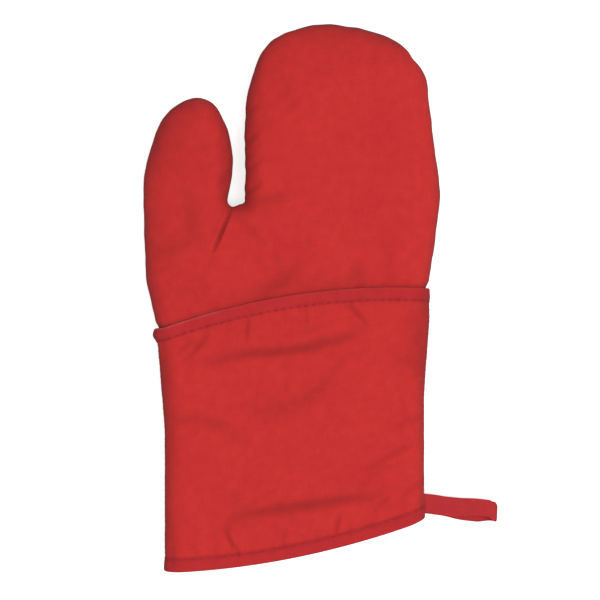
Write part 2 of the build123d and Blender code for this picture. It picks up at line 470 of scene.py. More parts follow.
class NodeBuilder:
    """Short calls that add shader nodes and join them."""

    def __init__(self, tree: bpy.types.NodeTree) -> None:
        """Keeps the tree that nodes are added to."""
        self.tree = tree

    def link(self, source: object, target: bpy.types.NodeSocket) -> None:
        """Joins an output to an input, or sets the input where the source is a plain value.

        Args:
            source: an output, or a plain value.
            target: the input.
        """
        if isinstance(source, bpy.types.NodeSocket):
            self.tree.links.new(source, target)
        else:
            target.default_value = source

    def math(self, operation: str, first: object, second: object = None, third: object = None) -> object:
        """A Math node's result.

        Args:
            operation: Blender's name for the sum.
            first: an output or a number.
            second: the same, where the sum needs it.
            third: the same.

        Returns:
            The node's output.
        """
        node = self.tree.nodes.new("ShaderNodeMath")
        node.operation = operation
        for socket, value in zip(node.inputs, (first, second, third)):
            if value is not None:
                self.link(value, socket)
        return node.outputs[0]

    def mix_value(self, share: object, first: object, second: object) -> object:
        """A blend of two values.

        Args:
            share: how much of the second value is in it.
            first: a value.
            second: the other.

        Returns:
            The blend's output.
        """
        node = self.tree.nodes.new("ShaderNodeMix")
        for name, value in (("Factor", share), ("A", first), ("B", second)):
            self.link(value, node.inputs[name])
        return node.outputs["Result"]

    def mix_colour(self, share: object, first: object, second: object) -> object:
        """A blend of two colours.

        Args:
            share: how much of the second colour is in it.
            first: a colour.
            second: the other.

        Returns:
            The blend's output.
        """
        node = self.tree.nodes.new("ShaderNodeMix")
        node.data_type = "RGBA"
        for socket, value in zip((node.inputs[0], node.inputs[6], node.inputs[7]), (share, first, second)):
            self.link(value, socket)
        return node.outputs[2]

    def multiply(self, colour: object, factors: tuple[float, float, float]) -> object:
        """A colour with each part multiplied by its own value.

        Args:
            colour: the colour's output.
            factors: what each part is multiplied by.

        Returns:
            The new colour's output.
        """
        node = self.tree.nodes.new("ShaderNodeVectorMath")
        node.operation = "MULTIPLY"
        self.link(colour, node.inputs[0])
        node.inputs[1].default_value = factors
        return node.outputs[0]

    def split(self, vector: object) -> tuple[object, object, object]:
        """The three parts of a vector.

        Args:
            vector: the vector's output.

        Returns:
            The outputs for x, y and z.
        """
        node = self.tree.nodes.new("ShaderNodeSeparateXYZ")
        self.link(vector, node.inputs[0])
        return tuple(node.outputs)

    def scale(self, vector: object, factors: tuple[float, float, float]) -> object:
        """A vector with each part multiplied.

        Args:
            vector: the vector's output.
            factors: what each part is multiplied by.

        Returns:
            The new vector's output.
        """
        node = self.tree.nodes.new("ShaderNodeMapping")
        self.link(vector, node.inputs["Vector"])
        node.inputs["Scale"].default_value = factors
        return node.outputs[0]

    def noise(self, vector: object, scale: float, detail: float) -> object:
        """Smooth noise between 0 and 1.

        Args:
            vector: where it is read.
            scale: how many lumps to a metre.
            detail: how many finer layers it has.

        Returns:
            The noise's output.
        """
        node = self.tree.nodes.new("ShaderNodeTexNoise")
        self.link(vector, node.inputs["Vector"])
        node.inputs["Scale"].default_value = scale
        node.inputs["Detail"].default_value = detail
        return node.outputs["Fac"]

    def group(self, tree: bpy.types.NodeTree, **values: object) -> bpy.types.Node:
        """A shared group placed here with its own values.

        Args:
            tree: the group.
            values: an output or a value for each named input.

        Returns:
            The group's node.
        """
        node = self.tree.nodes.new("ShaderNodeGroup")
        node.node_tree = tree
        for name, value in values.items():
            self.link(value, node.inputs[name])
        return node


class Weft(Enum):
    """Where a cloth's pattern is read from."""

    ON_CLOTH = "cloth"
    IN_SPACE = "space"


@dataclass(frozen=True)
class Cotton:
    """A woven cotton finish: dye colours, thread pitch in metres, and how strongly each effect shows; `edge`
    is how much shade is painted where the surface turns away from the lens.
    """

    name: str
    deep: tuple[float, float, float]
    light: tuple[float, float, float]
    pitch: float = 0.00045
    relief: float = 0.35
    roughness: float = 0.88
    sheen: float = 0.05
    edge: float = 0.7
    place: Weft = Weft.ON_CLOTH

    def make(self) -> bpy.types.Material:
        """Builds the material once.

        Returns:
            The material, with weave, thread shades and uneven dye in its colour, roughness and bump, painted
            shade at its rims and from the mesh's 'dark' attribute, and a painted highlight where that
            attribute is below zero.
        """
        if self.name in bpy.data.materials:
            return bpy.data.materials[self.name]
        material = bpy.data.materials.new(self.name)
        material.use_nodes = True
        tree = material.node_tree
        shader = tree.nodes["Principled BSDF"]
        build = NodeBuilder(tree)
        if self.place is Weft.ON_CLOTH:
            uv = tree.nodes.new("ShaderNodeUVMap")
            uv.uv_map = "cloth"
            place = uv.outputs[0]
        else:
            place = tree.nodes.new("ShaderNodeTexCoord").outputs["Object"]
        weave = build.group(ShaderGroups.weave(), Place=place, Pitch=self.pitch)
        dye = build.group(ShaderGroups.mottle(), Place=place)
        tone = build.mix_value(0.6, weave.outputs["Shade"], dye.outputs["Value"])
        spread = build.math("MULTIPLY_ADD", tone, 2.6, -0.8)
        tone_and_highlight = build.math("MULTIPLY_ADD", weave.outputs["Height"], 0.12, spread)
        clipped = build.math("MINIMUM", build.math("MAXIMUM", tone_and_highlight, 0.0), 1.0)
        dyed = build.mix_colour(clipped, (*self.deep, 1.0), (*self.light, 1.0))
        # Painted shade from the mesh's 'dark' attribute; where it is below zero, a pale painted highlight.
        shade = tree.nodes.new("ShaderNodeAttribute")
        shade.attribute_name = "dark"
        # Painted shade at the rims: the colour darkens and turns bluer where the surface turns away from the
        # lens.
        facing = tree.nodes.new("ShaderNodeLayerWeight")
        facing.inputs["Blend"].default_value = 0.5
        turned = build.math("MULTIPLY", build.math("POWER", facing.outputs["Facing"], 2.6), self.edge)
        red, green, blue = self.deep
        rim_shaded = build.mix_colour(turned, dyed, (0.3 * red, 0.3 * green, 0.45 * blue, 1.0))
        shadow = build.math("MAXIMUM", shade.outputs["Fac"], 0.0)
        # Below zero, 'dark' paints a pale highlight.
        tone_and_highlight = build.math("MAXIMUM", build.math("MULTIPLY", shade.outputs["Fac"], -1.0), 0.0)
        shaded = build.mix_colour(shadow, rim_shaded, build.multiply(rim_shaded, (0.0, 0.15, 0.45)))
        pale = (0.5 + 0.4 * red, 0.2 + green, 0.2 + blue, 1.0)
        build.link(build.mix_colour(tone_and_highlight, shaded, pale), shader.inputs["Base Color"])
        rough = build.math("MULTIPLY_ADD", dye.outputs["Value"], 0.12, self.roughness - 0.06)
        build.link(rough, shader.inputs["Roughness"])
        bump = tree.nodes.new("ShaderNodeBump")
        bump.inputs["Strength"].default_value = self.relief
        bump.inputs["Distance"].default_value = 0.00012
        build.link(weave.outputs["Height"], bump.inputs["Height"])
        build.link(bump.outputs["Normal"], shader.inputs["Normal"])
        shader.inputs["Sheen Weight"].default_value = self.sheen
        shader.inputs["Sheen Roughness"].default_value = 0.6
        shader.inputs["Specular IOR Level"].default_value = 0.18
        return material


PANEL_COTTON = Cotton("red cotton", (0.49, 0.020, 0.022), (0.67, 0.033, 0.028))
HEM_COTTON = Cotton("red hem cotton", (0.43, 0.017, 0.021), (0.59, 0.027, 0.030))
TAPE_COTTON = Cotton("red tape", (0.40, 0.020, 0.026), (0.55, 0.031, 0.035), pitch=0.0007, relief=0.5)
THREAD_COTTON = Cotton("red thread", (0.30, 0.013, 0.017), (0.40, 0.022, 0.026), pitch=0.0003,
                       place=Weft.IN_SPACE)
LINING_COTTON = Cotton("lining cotton", (0.70, 0.66, 0.57), (0.84, 0.81, 0.74), pitch=0.0006)
WADDING_FLEECE = Cotton("wadding fleece", (0.72, 0.71, 0.68), (0.88, 0.87, 0.84), pitch=0.0013, relief=0.6,
                        sheen=0.3)


# -------------------------------------------------------------------------------------------------- meshes


@dataclass
class Cloth:
    """A piece's mesh while it is worked on: points in pattern millimetres, faces, and each point's place on
    the flat cloth, in millimetres."""

    points: Array
    faces: list[Array]
    flat: Array
    normals: Array | None = None
    dark: Array | None = None

    def piece(self, name: str, finish: Cotton, slot: str) -> bpy.types.Object:
        """Makes the Blender object, in the frame's metres.

        Args:
            name: the piece's name.
            finish: its material.
            slot: the record's material slot; not used.

        Returns:
            The object, at the origin, with its cloth map and, where they are known, its own normals.
        """
        mesh = bpy.data.meshes.new(f"soft_{name}")
        faces = [face for group in self.faces for face in group.tolist()]
        mesh.from_pydata(PATTERN.to_frame(self.points).tolist(), [], faces)
        mesh.polygons.foreach_set("use_smooth", np.ones(len(faces), bool))
        corner = np.zeros(len(mesh.loops), np.int32)
        mesh.loops.foreach_get("vertex_index", corner)
        layer = mesh.uv_layers.new(name="cloth")
        layer.data.foreach_set("uv", (self.flat[corner] * MILLIMETRE).astype(np.float32).ravel())
        if self.normals is not None:
            mesh.normals_split_custom_set(self.normals.tolist())
        # Painted shade, and a painted highlight where it is below zero, handed to the finish as the 'dark'
        # attribute.
        if self.dark is not None:
            shade = mesh.attributes.new("dark", "FLOAT", "POINT")
            shade.data.foreach_set("value", self.dark.astype(np.float32))
        mesh.materials.append(finish.make())
        mesh.validate()
        piece = bpy.data.objects.new(f"soft_{name}", mesh)
        bpy.context.scene.collection.objects.link(piece)
        LOG.info("%s: %d points, %d faces", name, len(self.points), len(faces))
        return piece


def layer_between(points: Array, normals: Array, faces: Array, flat: Array, outer: Array, inner: Array,
                  dark: Array | None = None) -> Cloth:
    """A closed layer of cloth under a surface.

    Args:
        points: the surface's points.
        normals: its normals.
        faces: its faces.
        flat: each point's place on the flat cloth.
        outer: how far below the surface the layer's upper face lies, for each point.
        inner: the same for its lower face.
        dark: how much shade is painted on each point's cloth.

    Returns:
        The layer, with the surface's own normals on both faces and plain ones on its cut edges.
    """
    used, index = np.unique(faces, return_inverse=True)
    index = index.reshape(faces.shape)
    normal, count = normals[used], len(used)
    upper = points[used] - normal * outer[used, None]
    lower = points[used] - normal * inner[used, None]
    edge = rim_edges(index)
    strip = np.column_stack([edge[:, 1], edge[:, 0], edge[:, 0] + count, edge[:, 1] + count])
    both = np.vstack([upper, lower])
    turned = index[:, ::-1] + count
    ring = both[strip]
    across = np.cross(ring[:, 2] - ring[:, 0], ring[:, 3] - ring[:, 1])
    across /= np.maximum(np.linalg.norm(across, axis=1, keepdims=True), 1e-12)
    below = -normal[(turned - count).ravel()]
    corner = np.vstack([normal[index.ravel()], below, np.repeat(across, 4, axis=0)])
    shade = None if dark is None else np.tile(dark[used], 2)
    return Cloth(both, [index, turned, strip], np.vstack([flat[used], flat[used]]), corner, shade)


@dataclass(frozen=True)
class Fold:
    """A crease in cloth: a smooth line, how deep and wide its valley is, the ridge beside it, its shade."""

    line: Line
    depth: float
    width: float
    ridge: float = 0.0
    ridge_offset: float = 3.0
    dark: float = 0.0

    def spread(self, place: Array) -> tuple[Array, Array]:
        """Distance to the line, and a fade that falls to nothing at its ends with a sine.

        Args:
            place: (n, 2) points on the cloth.

        Returns:
            The signed distances and the fades.
        """
        distance, share, _ = along_line(place, curve_through(self.line))
        return distance, np.sin(math.pi * np.clip(share, 0.0, 1.0)) ** 0.8

    def lift(self, place: Array) -> Array:
        """How far the fold moves the cloth outwards at each (x, y): a bell-shaped valley and ridge.

        Args:
            place: (n, 2) points on the cloth.

        Returns:
            The lift at each point, in millimetres.
        """
        distance, fade = self.spread(place)
        return fade * (self.ridge * bell(distance - self.ridge_offset, 1.6 * self.width)
                       - self.depth * bell(distance, self.width))

    def shade(self, place: Array) -> Array:
        """How much less light reaches the fold's valley at each (x, y), from 0 to 1."""
        distance, fade = self.spread(place)
        return self.dark * fade * bell(distance, 1.25 * self.width)


def stitch_row(centre: Array, along: Array, outwards: Array, length: float, radius: float) -> Cloth:
    """A row of separate stitches, each a short round thread whose ends dive into the cloth.

    Each is a tube: a share runs from -1 to 1 along it, the middle line sinks with the share's fourth power,
    and the radius shrinks near both ends.

    Args:
        centre: (n, 3) middles of the stitches.
        along: (n, 3) unit directions of the stitches.
        outwards: (n, 3) unit directions away from the cloth.
        length: the length of a stitch.
        radius: the thread's radius.

    Returns:
        All the stitches as one mesh of closed tubes.
    """
    rows, sides = 7, 8
    share = np.linspace(-1.0, 1.0, rows)
    turn = np.linspace(0.0, 2.0 * math.pi, sides, endpoint=False)
    girth = radius * np.sqrt(1.0 - 0.85 * share**4)
    across = np.cross(outwards, along)
    middle = centre[:, None] + along[:, None] * (0.5 * length * share)[None, :, None]
    middle = middle + outwards[:, None] * (0.4 * radius - 2.2 * radius * share**4)[None, :, None]
    ring = (across[:, None, None] * np.cos(turn)[None, None, :, None]
            + outwards[:, None, None] * np.sin(turn)[None, None, :, None])
    points = middle[:, :, None] + ring * girth[None, :, None, None]
    count = len(centre)
    start = np.arange(count)[:, None, None] * rows * sides
    quads = (grid_faces(rows, sides, closed_columns=True)[None, :, ::-1] + start).reshape(-1, 4)
    first = (np.arange(sides)[None] + start[:, 0]).reshape(-1, sides)
    last = (np.arange((rows - 1) * sides, rows * sides)[::-1][None] + start[:, 0]).reshape(-1, sides)
    thread = np.stack(np.meshgrid(share * length, turn, indexing="ij"), -1)
    flat = np.broadcast_to(thread, (count, rows, sides, 2))
    return Cloth(points.reshape(-1, 3), [quads, first, last], flat.reshape(-1, 2))


def face_outwards(cloth: Cloth) -> None:
    """Turns a closed mesh's faces round where they point inwards, told by the sign of its volume.

    Args:
        cloth: the closed mesh.
    """
    total = 0.0
    for group in cloth.faces:
        ring = cloth.points[group]
        for corner in range(1, group.shape[1] - 1):
            total += float((ring[:, 0] * np.cross(ring[:, corner], ring[:, corner + 1])).sum())
    if total < 0:
        cloth.faces = [group[:, ::-1] for group in cloth.faces]


# ------------------------------------------------------------------------------------------------- the hand


@dataclass
class Hand:
    """The padded hand with its finger pocket and thumb: shell, wadding and lining of both panels."""

    spacing: float = 2.6
    seam_inset: float = -0.3
    groove_depth: float = 0.8
    groove_width: float = 1.3
    shell: float = 0.6
    wadding_outer: float = 0.75
    wadding_inner: float = 5.1
    lining: float = 0.5
    lining_gap: float = 0.05
    wadding_fill: float = 0.45
    mouth_gap: float = 1.3
    rest_height: float = 0.12
    sewn_rows: int = 3
    swell_cap: float = 3.0
    frames: int = 24
    crease: Line = ((-34.6, 199.6), (-37.9, 190.6), (-41.3, 182.5), (-44.0, 176.3))
    crease_clear: float = 3.4
    crease_rows: tuple[float, ...] = (-3.0, -1.9, -0.95, 0.95, 1.9, 3.0)
    parting: Line = ((-45.5, 160.0), (-45.0, 120.0), (-44.0, 60.0))
    top_bunching: float = 0.25
    seam_wobble: float = 0.16
    stitch_pitch: float = 3.2
    stitch_depth: float = 0.75
    finger_bend: float = 46.0
    thumb_bend: float = 28.0
    # Strengths of painted shade: towards the fingertips and over the thumb, beside the crotch gap, in the
    # seam's groove and along the cuff's upper edge.
    tip_shade: float = 0.06
    gap_shade: float = 0.14
    groove_shade: float = 0.2
    hem_shade: float = 0.22
    bunching: tuple[tuple[float, float, float, float], ...] = (
        (-16.5, 287.5, -0.9, 4.0), (-5.0, 294.5, -2.0, 7.0), (27.0, 299.5, -0.8, 4.5),
        (46.8, 295.6, 0.8, 8.0), (11.0, 301.5, -0.5, 12.0), (64.0, 282.0, -2.7, 8.0),
        (73.5, 268.0, 0.7, 5.0), (-28.0, 210.2, 1.0, 1.9), (-27.5, 205.6, 0.8, 1.7),
        (-29.8, 200.0, 1.6, 2.6), (-78.0, 236.0, 1.0, 12.0), (-68.0, 253.0, -1.0, 8.0),
        (-38.0, 244.0, 0.9, 9.0), (79.0, 214.0, 0.5, 9.0), (76.0, 176.0, 0.6, 12.0),
    )
    folds: tuple[Fold, ...] = (
        Fold(((-34.0, 201.5), (-36.0, 195.8), (-37.9, 190.6), (-41.3, 182.5), (-45.5, 173.0)),
             1.5, 0.85, 0.6, -2.4, 0.42),
        Fold(((-33.0, 197.0), (-31.6, 194.7), (-26.1, 189.2), (-17.5, 179.5)), 0.55, 2.0, 0.3, 4.5, 0.10),
        Fold(((-29.0, 199.0), (-24.0, 202.0), (-16.5, 203.8), (0.5, 206.8)), 0.6, 2.4, 0.3, 4.5, 0.16),
        Fold(((-28.5, 206.5), (-24.0, 209.5), (-17.0, 214.5)), 0.7, 1.6, 0.35, 3.2, 0.08),
        Fold(((-28.5, 218.5), (-24.0, 221.8), (-17.0, 226.5)), 0.6, 1.7, 0.3, 3.4, 0.08),
        Fold(((-28.5, 233.5), (-24.0, 237.3), (-17.5, 242.0)), 0.6, 1.7, 0.3, 3.4, 0.08),
        Fold(((-28.5, 247.5), (-24.0, 252.5), (-16.0, 259.5)), 0.5, 1.9, 0.3, 3.6, 0.07),
        Fold(((-34.8, 222.0), (-38.0, 216.0), (-43.0, 210.0)), 0.5, 1.7, 0.3, 3.4, 0.14),
        Fold(((-58.5, 212.0), (-57.5, 200.0), (-54.5, 178.0)), 0.45, 4.0, 0.2, 7.0, 0.12),
        Fold(((-84.0, 172.5), (-66.0, 178.2), (-52.0, 183.5)), 0.45, 3.6, 0.2, 6.0, 0.12),
        Fold(((5.0, 172.5), (-6.9, 160.8), (-24.0, 149.5)), 0.9, 3.2, 0.5, -5.5, 0.19),
        Fold(((31.5, 173.0), (34.0, 163.0), (36.0, 153.5)), 0.6, 3.0, 0.3, 5.0, 0.13),
        Fold(((48.0, 192.0), (50.5, 175.0), (51.5, 157.0)), 0.4, 4.0, 0.2, 6.0, 0.05),
        Fold(((-72.0, 148.0), (-58.0, 154.0), (-40.0, 157.0)), 0.35, 3.6, 0.2, 6.0, 0.08),
        # The last four bands paint shade only, with no lift: towards the thumb's tip, along the fingertips,
        # down the thumb's left side, and along the cuff's upper edge.
        Fold(((-80.0, 212.0), (-74.0, 240.0), (-58.0, 256.0), (-38.0, 244.0)), 0.0, 11.0, dark=0.12),
        Fold(((-24.0, 280.0), (0.0, 297.0), (40.0, 299.0), (68.0, 278.0)), 0.0, 12.0, dark=0.07),
        Fold(((-80.0, 144.0), (-79.0, 175.0), (-78.0, 208.0)), 0.0, 12.0, dark=0.06),
        Fold(((-74.0, 137.0), (-40.0, 147.5), (0.0, 156.5), (36.0, 160.0), (72.0, 160.0)),
             0.0, 3.6, dark=0.10),
    )

    def base_line(self) -> Array:
        """The sewn outline seen from above, from the left of the mouth round to its right, evenly spread.

        Returns:
            The (n, 2) points.
        """
        line = PATTERN.outline(self.spacing * 0.85)
        line = line[line[:, 1] > PATTERN.mouth(line[:, 0]) + self.mouth_gap]
        return line + self.inward(line) * self.seam_inset

    @staticmethod
    def inward(line: Array) -> Array:
        """Unit normals of the seam line, towards the cloth, which lies on its right.

        Args:
            line: (n, 2) points of the seam.

        Returns:
            The (n, 2) normals.
        """
        run = np.gradient(line, axis=0)
        run /= np.linalg.norm(run, axis=1, keepdims=True)
        return np.column_stack([run[:, 1], -run[:, 0]])

    def bunched(self, base: Array, share: float = 1.0) -> Array:
        """The outline moved out and in where the seam allowance gathers behind it.

        Args:
            base: the outline.
            share: how much of the bunching it gets.

        Returns:
            The outline, moved.
        """
        travel = np.arange(len(base)) * self.spacing * 0.85
        shift = self.seam_wobble * ripple(travel, 31.0, 1.3)
        for x, y, amount, width in self.bunching:
            shift += amount * bell(np.hypot(base[:, 0] - x, base[:, 1] - y), width)
        return base - self.inward(base) * (share * shift)[:, None]

    def seam_line(self) -> Array:
        """The side seam seen from above."""
        return self.bunched(self.base_line())

    def climb(self, step: float) -> tuple[float, float]:
        """How far inside the seam, and how high above it, the cloth is after some steps up the rim.

        Args:
            step: the number of steps.

        Returns:
            The distance inside the seam and the height above it.
        """
        wall, radius = PATTERN.middle - PATTERN.rim_radius, PATTERN.rim_radius
        run = step * self.spacing
        angle = max(run - wall, 0.0) / radius
        return radius * (1.0 - math.cos(angle)), min(run, wall) + radius * math.sin(angle)

    def rings(self, base: Array) -> Array:
        """Loose points that carry on up the rounded rim from where the sewn rows end.

        Args:
            base: the outline.

        Returns:
            The points.
        """
        radius = PATTERN.rim_radius
        last = int((PATTERN.middle - radius + radius * math.pi / 2.0) / self.spacing)
        rings = []
        for step in range(self.sewn_rows + 1, last + 1):
            inset = self.climb(step)[0]
            ring = base + self.inward(base) * inset
            gap = np.abs(along_line(ring, base)[0])
            rings.append(resample(ring[gap > inset - 0.12], self.spacing))
        return np.vstack(rings)

    def beside(self, line: Array, gap: float, base: Array) -> Array:
        """Closely spaced points that run beside a crease, where the cloth needs finer triangles.

        Args:
            line: the crease.
            gap: how far to its right, or left where negative.
            base: the outline.

        Returns:
            The points that lie inside the sewn rows.
        """
        row = resample(line, 1.5)
        row = row + self.inward(row) * gap
        return row[-along_line(row, base)[0] > self.climb(self.sewn_rows)[0] + 0.6]

    def lattice(self, seam: Array) -> Array:
        """Evenly spread points over the flat middle: alternate rows are moved by half a step.

        Args:
            seam: the outline.

        Returns:
            The points that lie inside the rounded rim.
        """
        low, high = seam.min(0), seam.max(0)
        row = np.arange(low[1], high[1], self.spacing * math.sqrt(0.75))
        column = np.arange(low[0], high[0], self.spacing)
        x, y = np.meshgrid(column, row)
        x = x + 0.5 * self.spacing * (np.arange(len(row)) % 2)[:, None]
        points = np.column_stack([x.ravel(), y.ravel()])
        points = points[points[:, 1] > PATTERN.mouth(points[:, 0]) + self.mouth_gap + 0.6 * self.spacing]
        return points[-along_line(points, seam)[0] > PATTERN.rim_radius + 0.55 * self.spacing]

    def sewn_lines(self, base: Array) -> list[Array]:
        """The lines of points up the rim from the seam, each less bunched than the one below it.

        Args:
            base: the outline.

        Returns:
            The lines, from the seam upwards.
        """
        fades = np.linspace(1.0, self.top_bunching, self.sewn_rows + 1)
        return [self.bunched(base, fade) + self.inward(base) * self.climb(row)[0]
                for row, fade in enumerate(fades)]

    def loose_points(self, base: Array, parting: Array) -> Array:
        """The fill's own points, clear of the parting line, with close rows beside the crease.

        Args:
            base: the outline.
            parting: the line between thumb and hand.

        Returns:
            The points.
        """
        loose = np.vstack([self.rings(base), self.lattice(base)])
        loose = loose[np.abs(along_line(loose, parting)[0]) > 0.5 * self.spacing]
        valley = curve_through(self.crease)
        loose = loose[np.abs(along_line(loose, valley)[0]) > self.crease_clear]
        return np.vstack([loose, *(self.beside(valley, gap, base) for gap in self.crease_rows)])

    @staticmethod
    def filled(border: Array, parting: Array, loose: Array,
               ends: tuple[int, int]) -> tuple[Array, Array, Array]:
        """Even triangles inside a closed border, with edges along a line that crosses it.

        Args:
            border: the border's points.
            parting: the line's points.
            loose: the loose points.
            ends: the border points that the line joins.

        Returns:
            The points, the triangles, and the number that each border point got.
        """
        given = np.vstack([border, parting[1:-1], loose])
        number = np.arange(len(border))
        inner = np.arange(len(border), len(border) + len(parting) - 2)
        chain = np.concatenate([ends[:1], inner, ends[1:]])
        edges = np.vstack([np.column_stack([number, np.roll(number, -1)]),
                           np.column_stack([chain[:-1], chain[1:]])])
        made = delaunay_2d_cdt([Vector(p) for p in given.tolist()], edges.tolist(), [], 1, 1e-5)
        fill = np.array([tuple(p) for p in made[0]])
        faces = np.array(made[2], int)
        first, second, third = (fill[faces[:, corner]] for corner in range(3))
        side, slant = second - first, third - first
        down = side[:, 0] * slant[:, 1] - side[:, 1] * slant[:, 0] < 0
        faces[down] = faces[down][:, ::-1]
        place = np.zeros(len(given) + 1, int)
        place[[ids[0] if ids else len(given) for ids in made[3]]] = np.arange(len(fill))
        return fill, faces, place[:len(border)]

    def cut_cloth(self) -> tuple[Array, Array, Array, Array]:
        """The panel filled with even triangles: sewn rows up the rim, then a fill of the middle.

        An edge of the triangles runs down the parting line between the thumb and the hand.

        Returns:
            The points in plan, their rise above the side seam, the triangles, and whether each triangle
            belongs to the thumb's side of the parting line. The seam's own points come first.
        """
        base = self.base_line()
        count, rows = len(base), self.sewn_rows
        sewn = self.sewn_lines(base)
        edge = sewn[-1]
        columns = int(np.ptp(edge[[0, -1], 0]) / self.spacing)
        x = np.linspace(edge[-1, 0], edge[0, 0], columns)[1:-1]
        mouth = np.column_stack([x, PATTERN.mouth(x) + self.mouth_gap])
        top = int(np.linalg.norm(base - np.array(self.crease[0]), axis=1).argmin())
        foot = int(np.abs(mouth[:, 0] - self.parting[-1][0]).argmin())
        route = [tuple(edge[top]), *self.crease[1:], *self.parting, tuple(mouth[foot])]
        parting = resample(curve_through(route), self.spacing)
        loose = self.loose_points(base, parting)
        fill, faces, rim = self.filled(np.vstack([edge, mouth]), parting, loose, (top, count + foot))
        above, below = edge[top:top + 1] + np.array([[3.0, 300.0]]), parting[-1:] - np.array([[0.0, 200.0]])
        thumb = along_line(fill[faces].mean(1), np.vstack([above, parting, below]))[0] < 0.0
        index = np.vstack([np.arange(rows * count).reshape(rows, count), rim[:count] + rows * count])
        quad = np.stack([index[:-1, :-1], index[1:, :-1], index[1:, 1:], index[:-1, 1:]], -1)
        strips = np.vstack([quad[..., [0, 1, 2]].reshape(-1, 3), quad[..., [0, 2, 3]].reshape(-1, 3)])
        on_thumb = np.tile(np.broadcast_to(np.arange(count - 1) < top, quad.shape[:2]).ravel(), 2)
        rise = np.concatenate([np.full(count, self.climb(row)[1]) for row in range(rows)]
                              + [PATTERN.rim_height(np.abs(along_line(fill, base)[0]))])
        triangles = np.vstack([strips, faces + rows * count])
        return np.vstack([*sewn[:-1], fill]), rise, triangles, np.concatenate([on_thumb, thumb])

    def stuff(self) -> tuple[Array, Array, Array, Array]:
        """Both panels sewn together and lifted to the rounded cushion that the simulation starts from.

        Returns:
            The points, the triangles, each triangle's region number, and which points are held.
        """
        flat, rise, faces, thumb = self.cut_cloth()
        on_seam = np.arange(len(flat)) < len(self.base_line())
        front = np.column_stack([flat, PATTERN.middle + rise])
        back = np.column_stack([flat, PATTERN.middle - rise])[~on_seam]
        to_back = np.where(on_seam, np.arange(len(flat)), len(flat) + np.cumsum(~on_seam) - 1)
        points = np.vstack([front, back])
        both = np.vstack([faces, to_back[faces][:, ::-1]])
        region = np.concatenate([2 * thumb, 2 * thumb + 1])
        held = np.zeros(len(points), bool)
        held[: len(flat)] = on_seam
        held |= points[:, 1] < PATTERN.top_hem(points[:, 0]) + 2.0
        return points, both, region, held

    def swell(self, points: Array, faces: Array, held: Array) -> Array:
        """Blows the sewn cloth up a little, held at its seam and under the cuff, and caps how far it moves.

        The cloth is let grow by a small share, so that it gathers against the seam as stuffed cotton does.

        Args:
            points: the coarse cushion's points.
            faces: its triangles.
            held: which points stay where they are.

        Returns:
            The points, moved.
        """
        mesh = bpy.data.meshes.new("sewn cloth")
        mesh.from_pydata((points * MILLIMETRE).tolist(), [], faces.tolist())
        body = bpy.data.objects.new("sewn cloth", mesh)
        bpy.context.scene.collection.objects.link(body)
        pins = body.vertex_groups.new(name="held")
        pins.add(np.flatnonzero(held).tolist(), 1.0, "REPLACE")
        slack = body.vertex_groups.new(name="slack")
        slack.add(np.flatnonzero(~held).tolist(), 1.0, "REPLACE")
        cloth = body.modifiers.new("cloth", "CLOTH")
        settings = cloth.settings
        settings.quality = 6
        settings.mass = 0.2
        settings.tension_stiffness = settings.compression_stiffness = 18.0
        settings.shear_stiffness = 10.0
        settings.bending_stiffness = 0.6
        settings.use_pressure = True
        settings.uniform_pressure_force = 4.0
        settings.vertex_group_mass = "held"
        settings.vertex_group_shrink = "slack"
        settings.shrink_min = 0.0
        settings.shrink_max = -0.035
        settings.effector_weights.gravity = 0.0
        cloth.collision_settings.use_collision = False
        cloth.collision_settings.use_self_collision = False
        scene = bpy.context.scene
        cloth.point_cache.frame_start, cloth.point_cache.frame_end = 1, self.frames
        for step in range(1, self.frames + 1):
            scene.frame_set(step)
        shown = body.evaluated_get(bpy.context.evaluated_depsgraph_get()).to_mesh()
        blown = np.zeros(len(points) * 3)
        shown.vertices.foreach_get("co", blown)
        blown = blown.reshape(-1, 3) / MILLIMETRE
        body.evaluated_get(bpy.context.evaluated_depsgraph_get()).to_mesh_clear()
        bpy.data.objects.remove(body)
        bpy.data.meshes.remove(mesh)
        scene.frame_set(1)
        move = blown - points
        size = np.linalg.norm(move, axis=1, keepdims=True)
        LOG.info("cloth moved by up to %.1f mm, %.1f mm on average", size.max(), size.mean())
        return points + move * np.tanh(size / self.swell_cap) * self.swell_cap / np.maximum(size, 1e-9)

    @staticmethod
    def subdivide(points: Array, faces: Array, region: Array) -> tuple[Array, Array, Array]:
        """One round of subdivision, which turns each triangle into three four-sided faces.

        Args:
            points: the coarse points.
            faces: the triangles.
            region: each triangle's region number.

        Returns:
            The finer points and faces, and each face's region number.
        """
        mesh = bpy.data.meshes.new("coarse")
        mesh.from_pydata(points.tolist(), [], faces.tolist())
        mesh.polygons.foreach_set("material_index", region.astype(np.int32))
        body = bpy.data.objects.new("coarse", mesh)
        bpy.context.scene.collection.objects.link(body)
        modifier = body.modifiers.new("subdivision", "SUBSURF")
        modifier.levels = modifier.render_levels = 1
        fine = bpy.data.meshes.new_from_object(body.evaluated_get(bpy.context.evaluated_depsgraph_get()))
        place = np.zeros(len(fine.vertices) * 3)
        fine.vertices.foreach_get("co", place)
        corner = np.zeros(len(fine.loops), np.int32)
        fine.loops.foreach_get("vertex_index", corner)
        number = np.zeros(len(fine.polygons), np.int32)
        fine.polygons.foreach_get("material_index", number)
        bpy.data.objects.remove(body)
        bpy.data.meshes.remove(mesh)
        bpy.data.meshes.remove(fine)
        return place.reshape(-1, 3), corner.reshape(-1, 4).astype(int), number

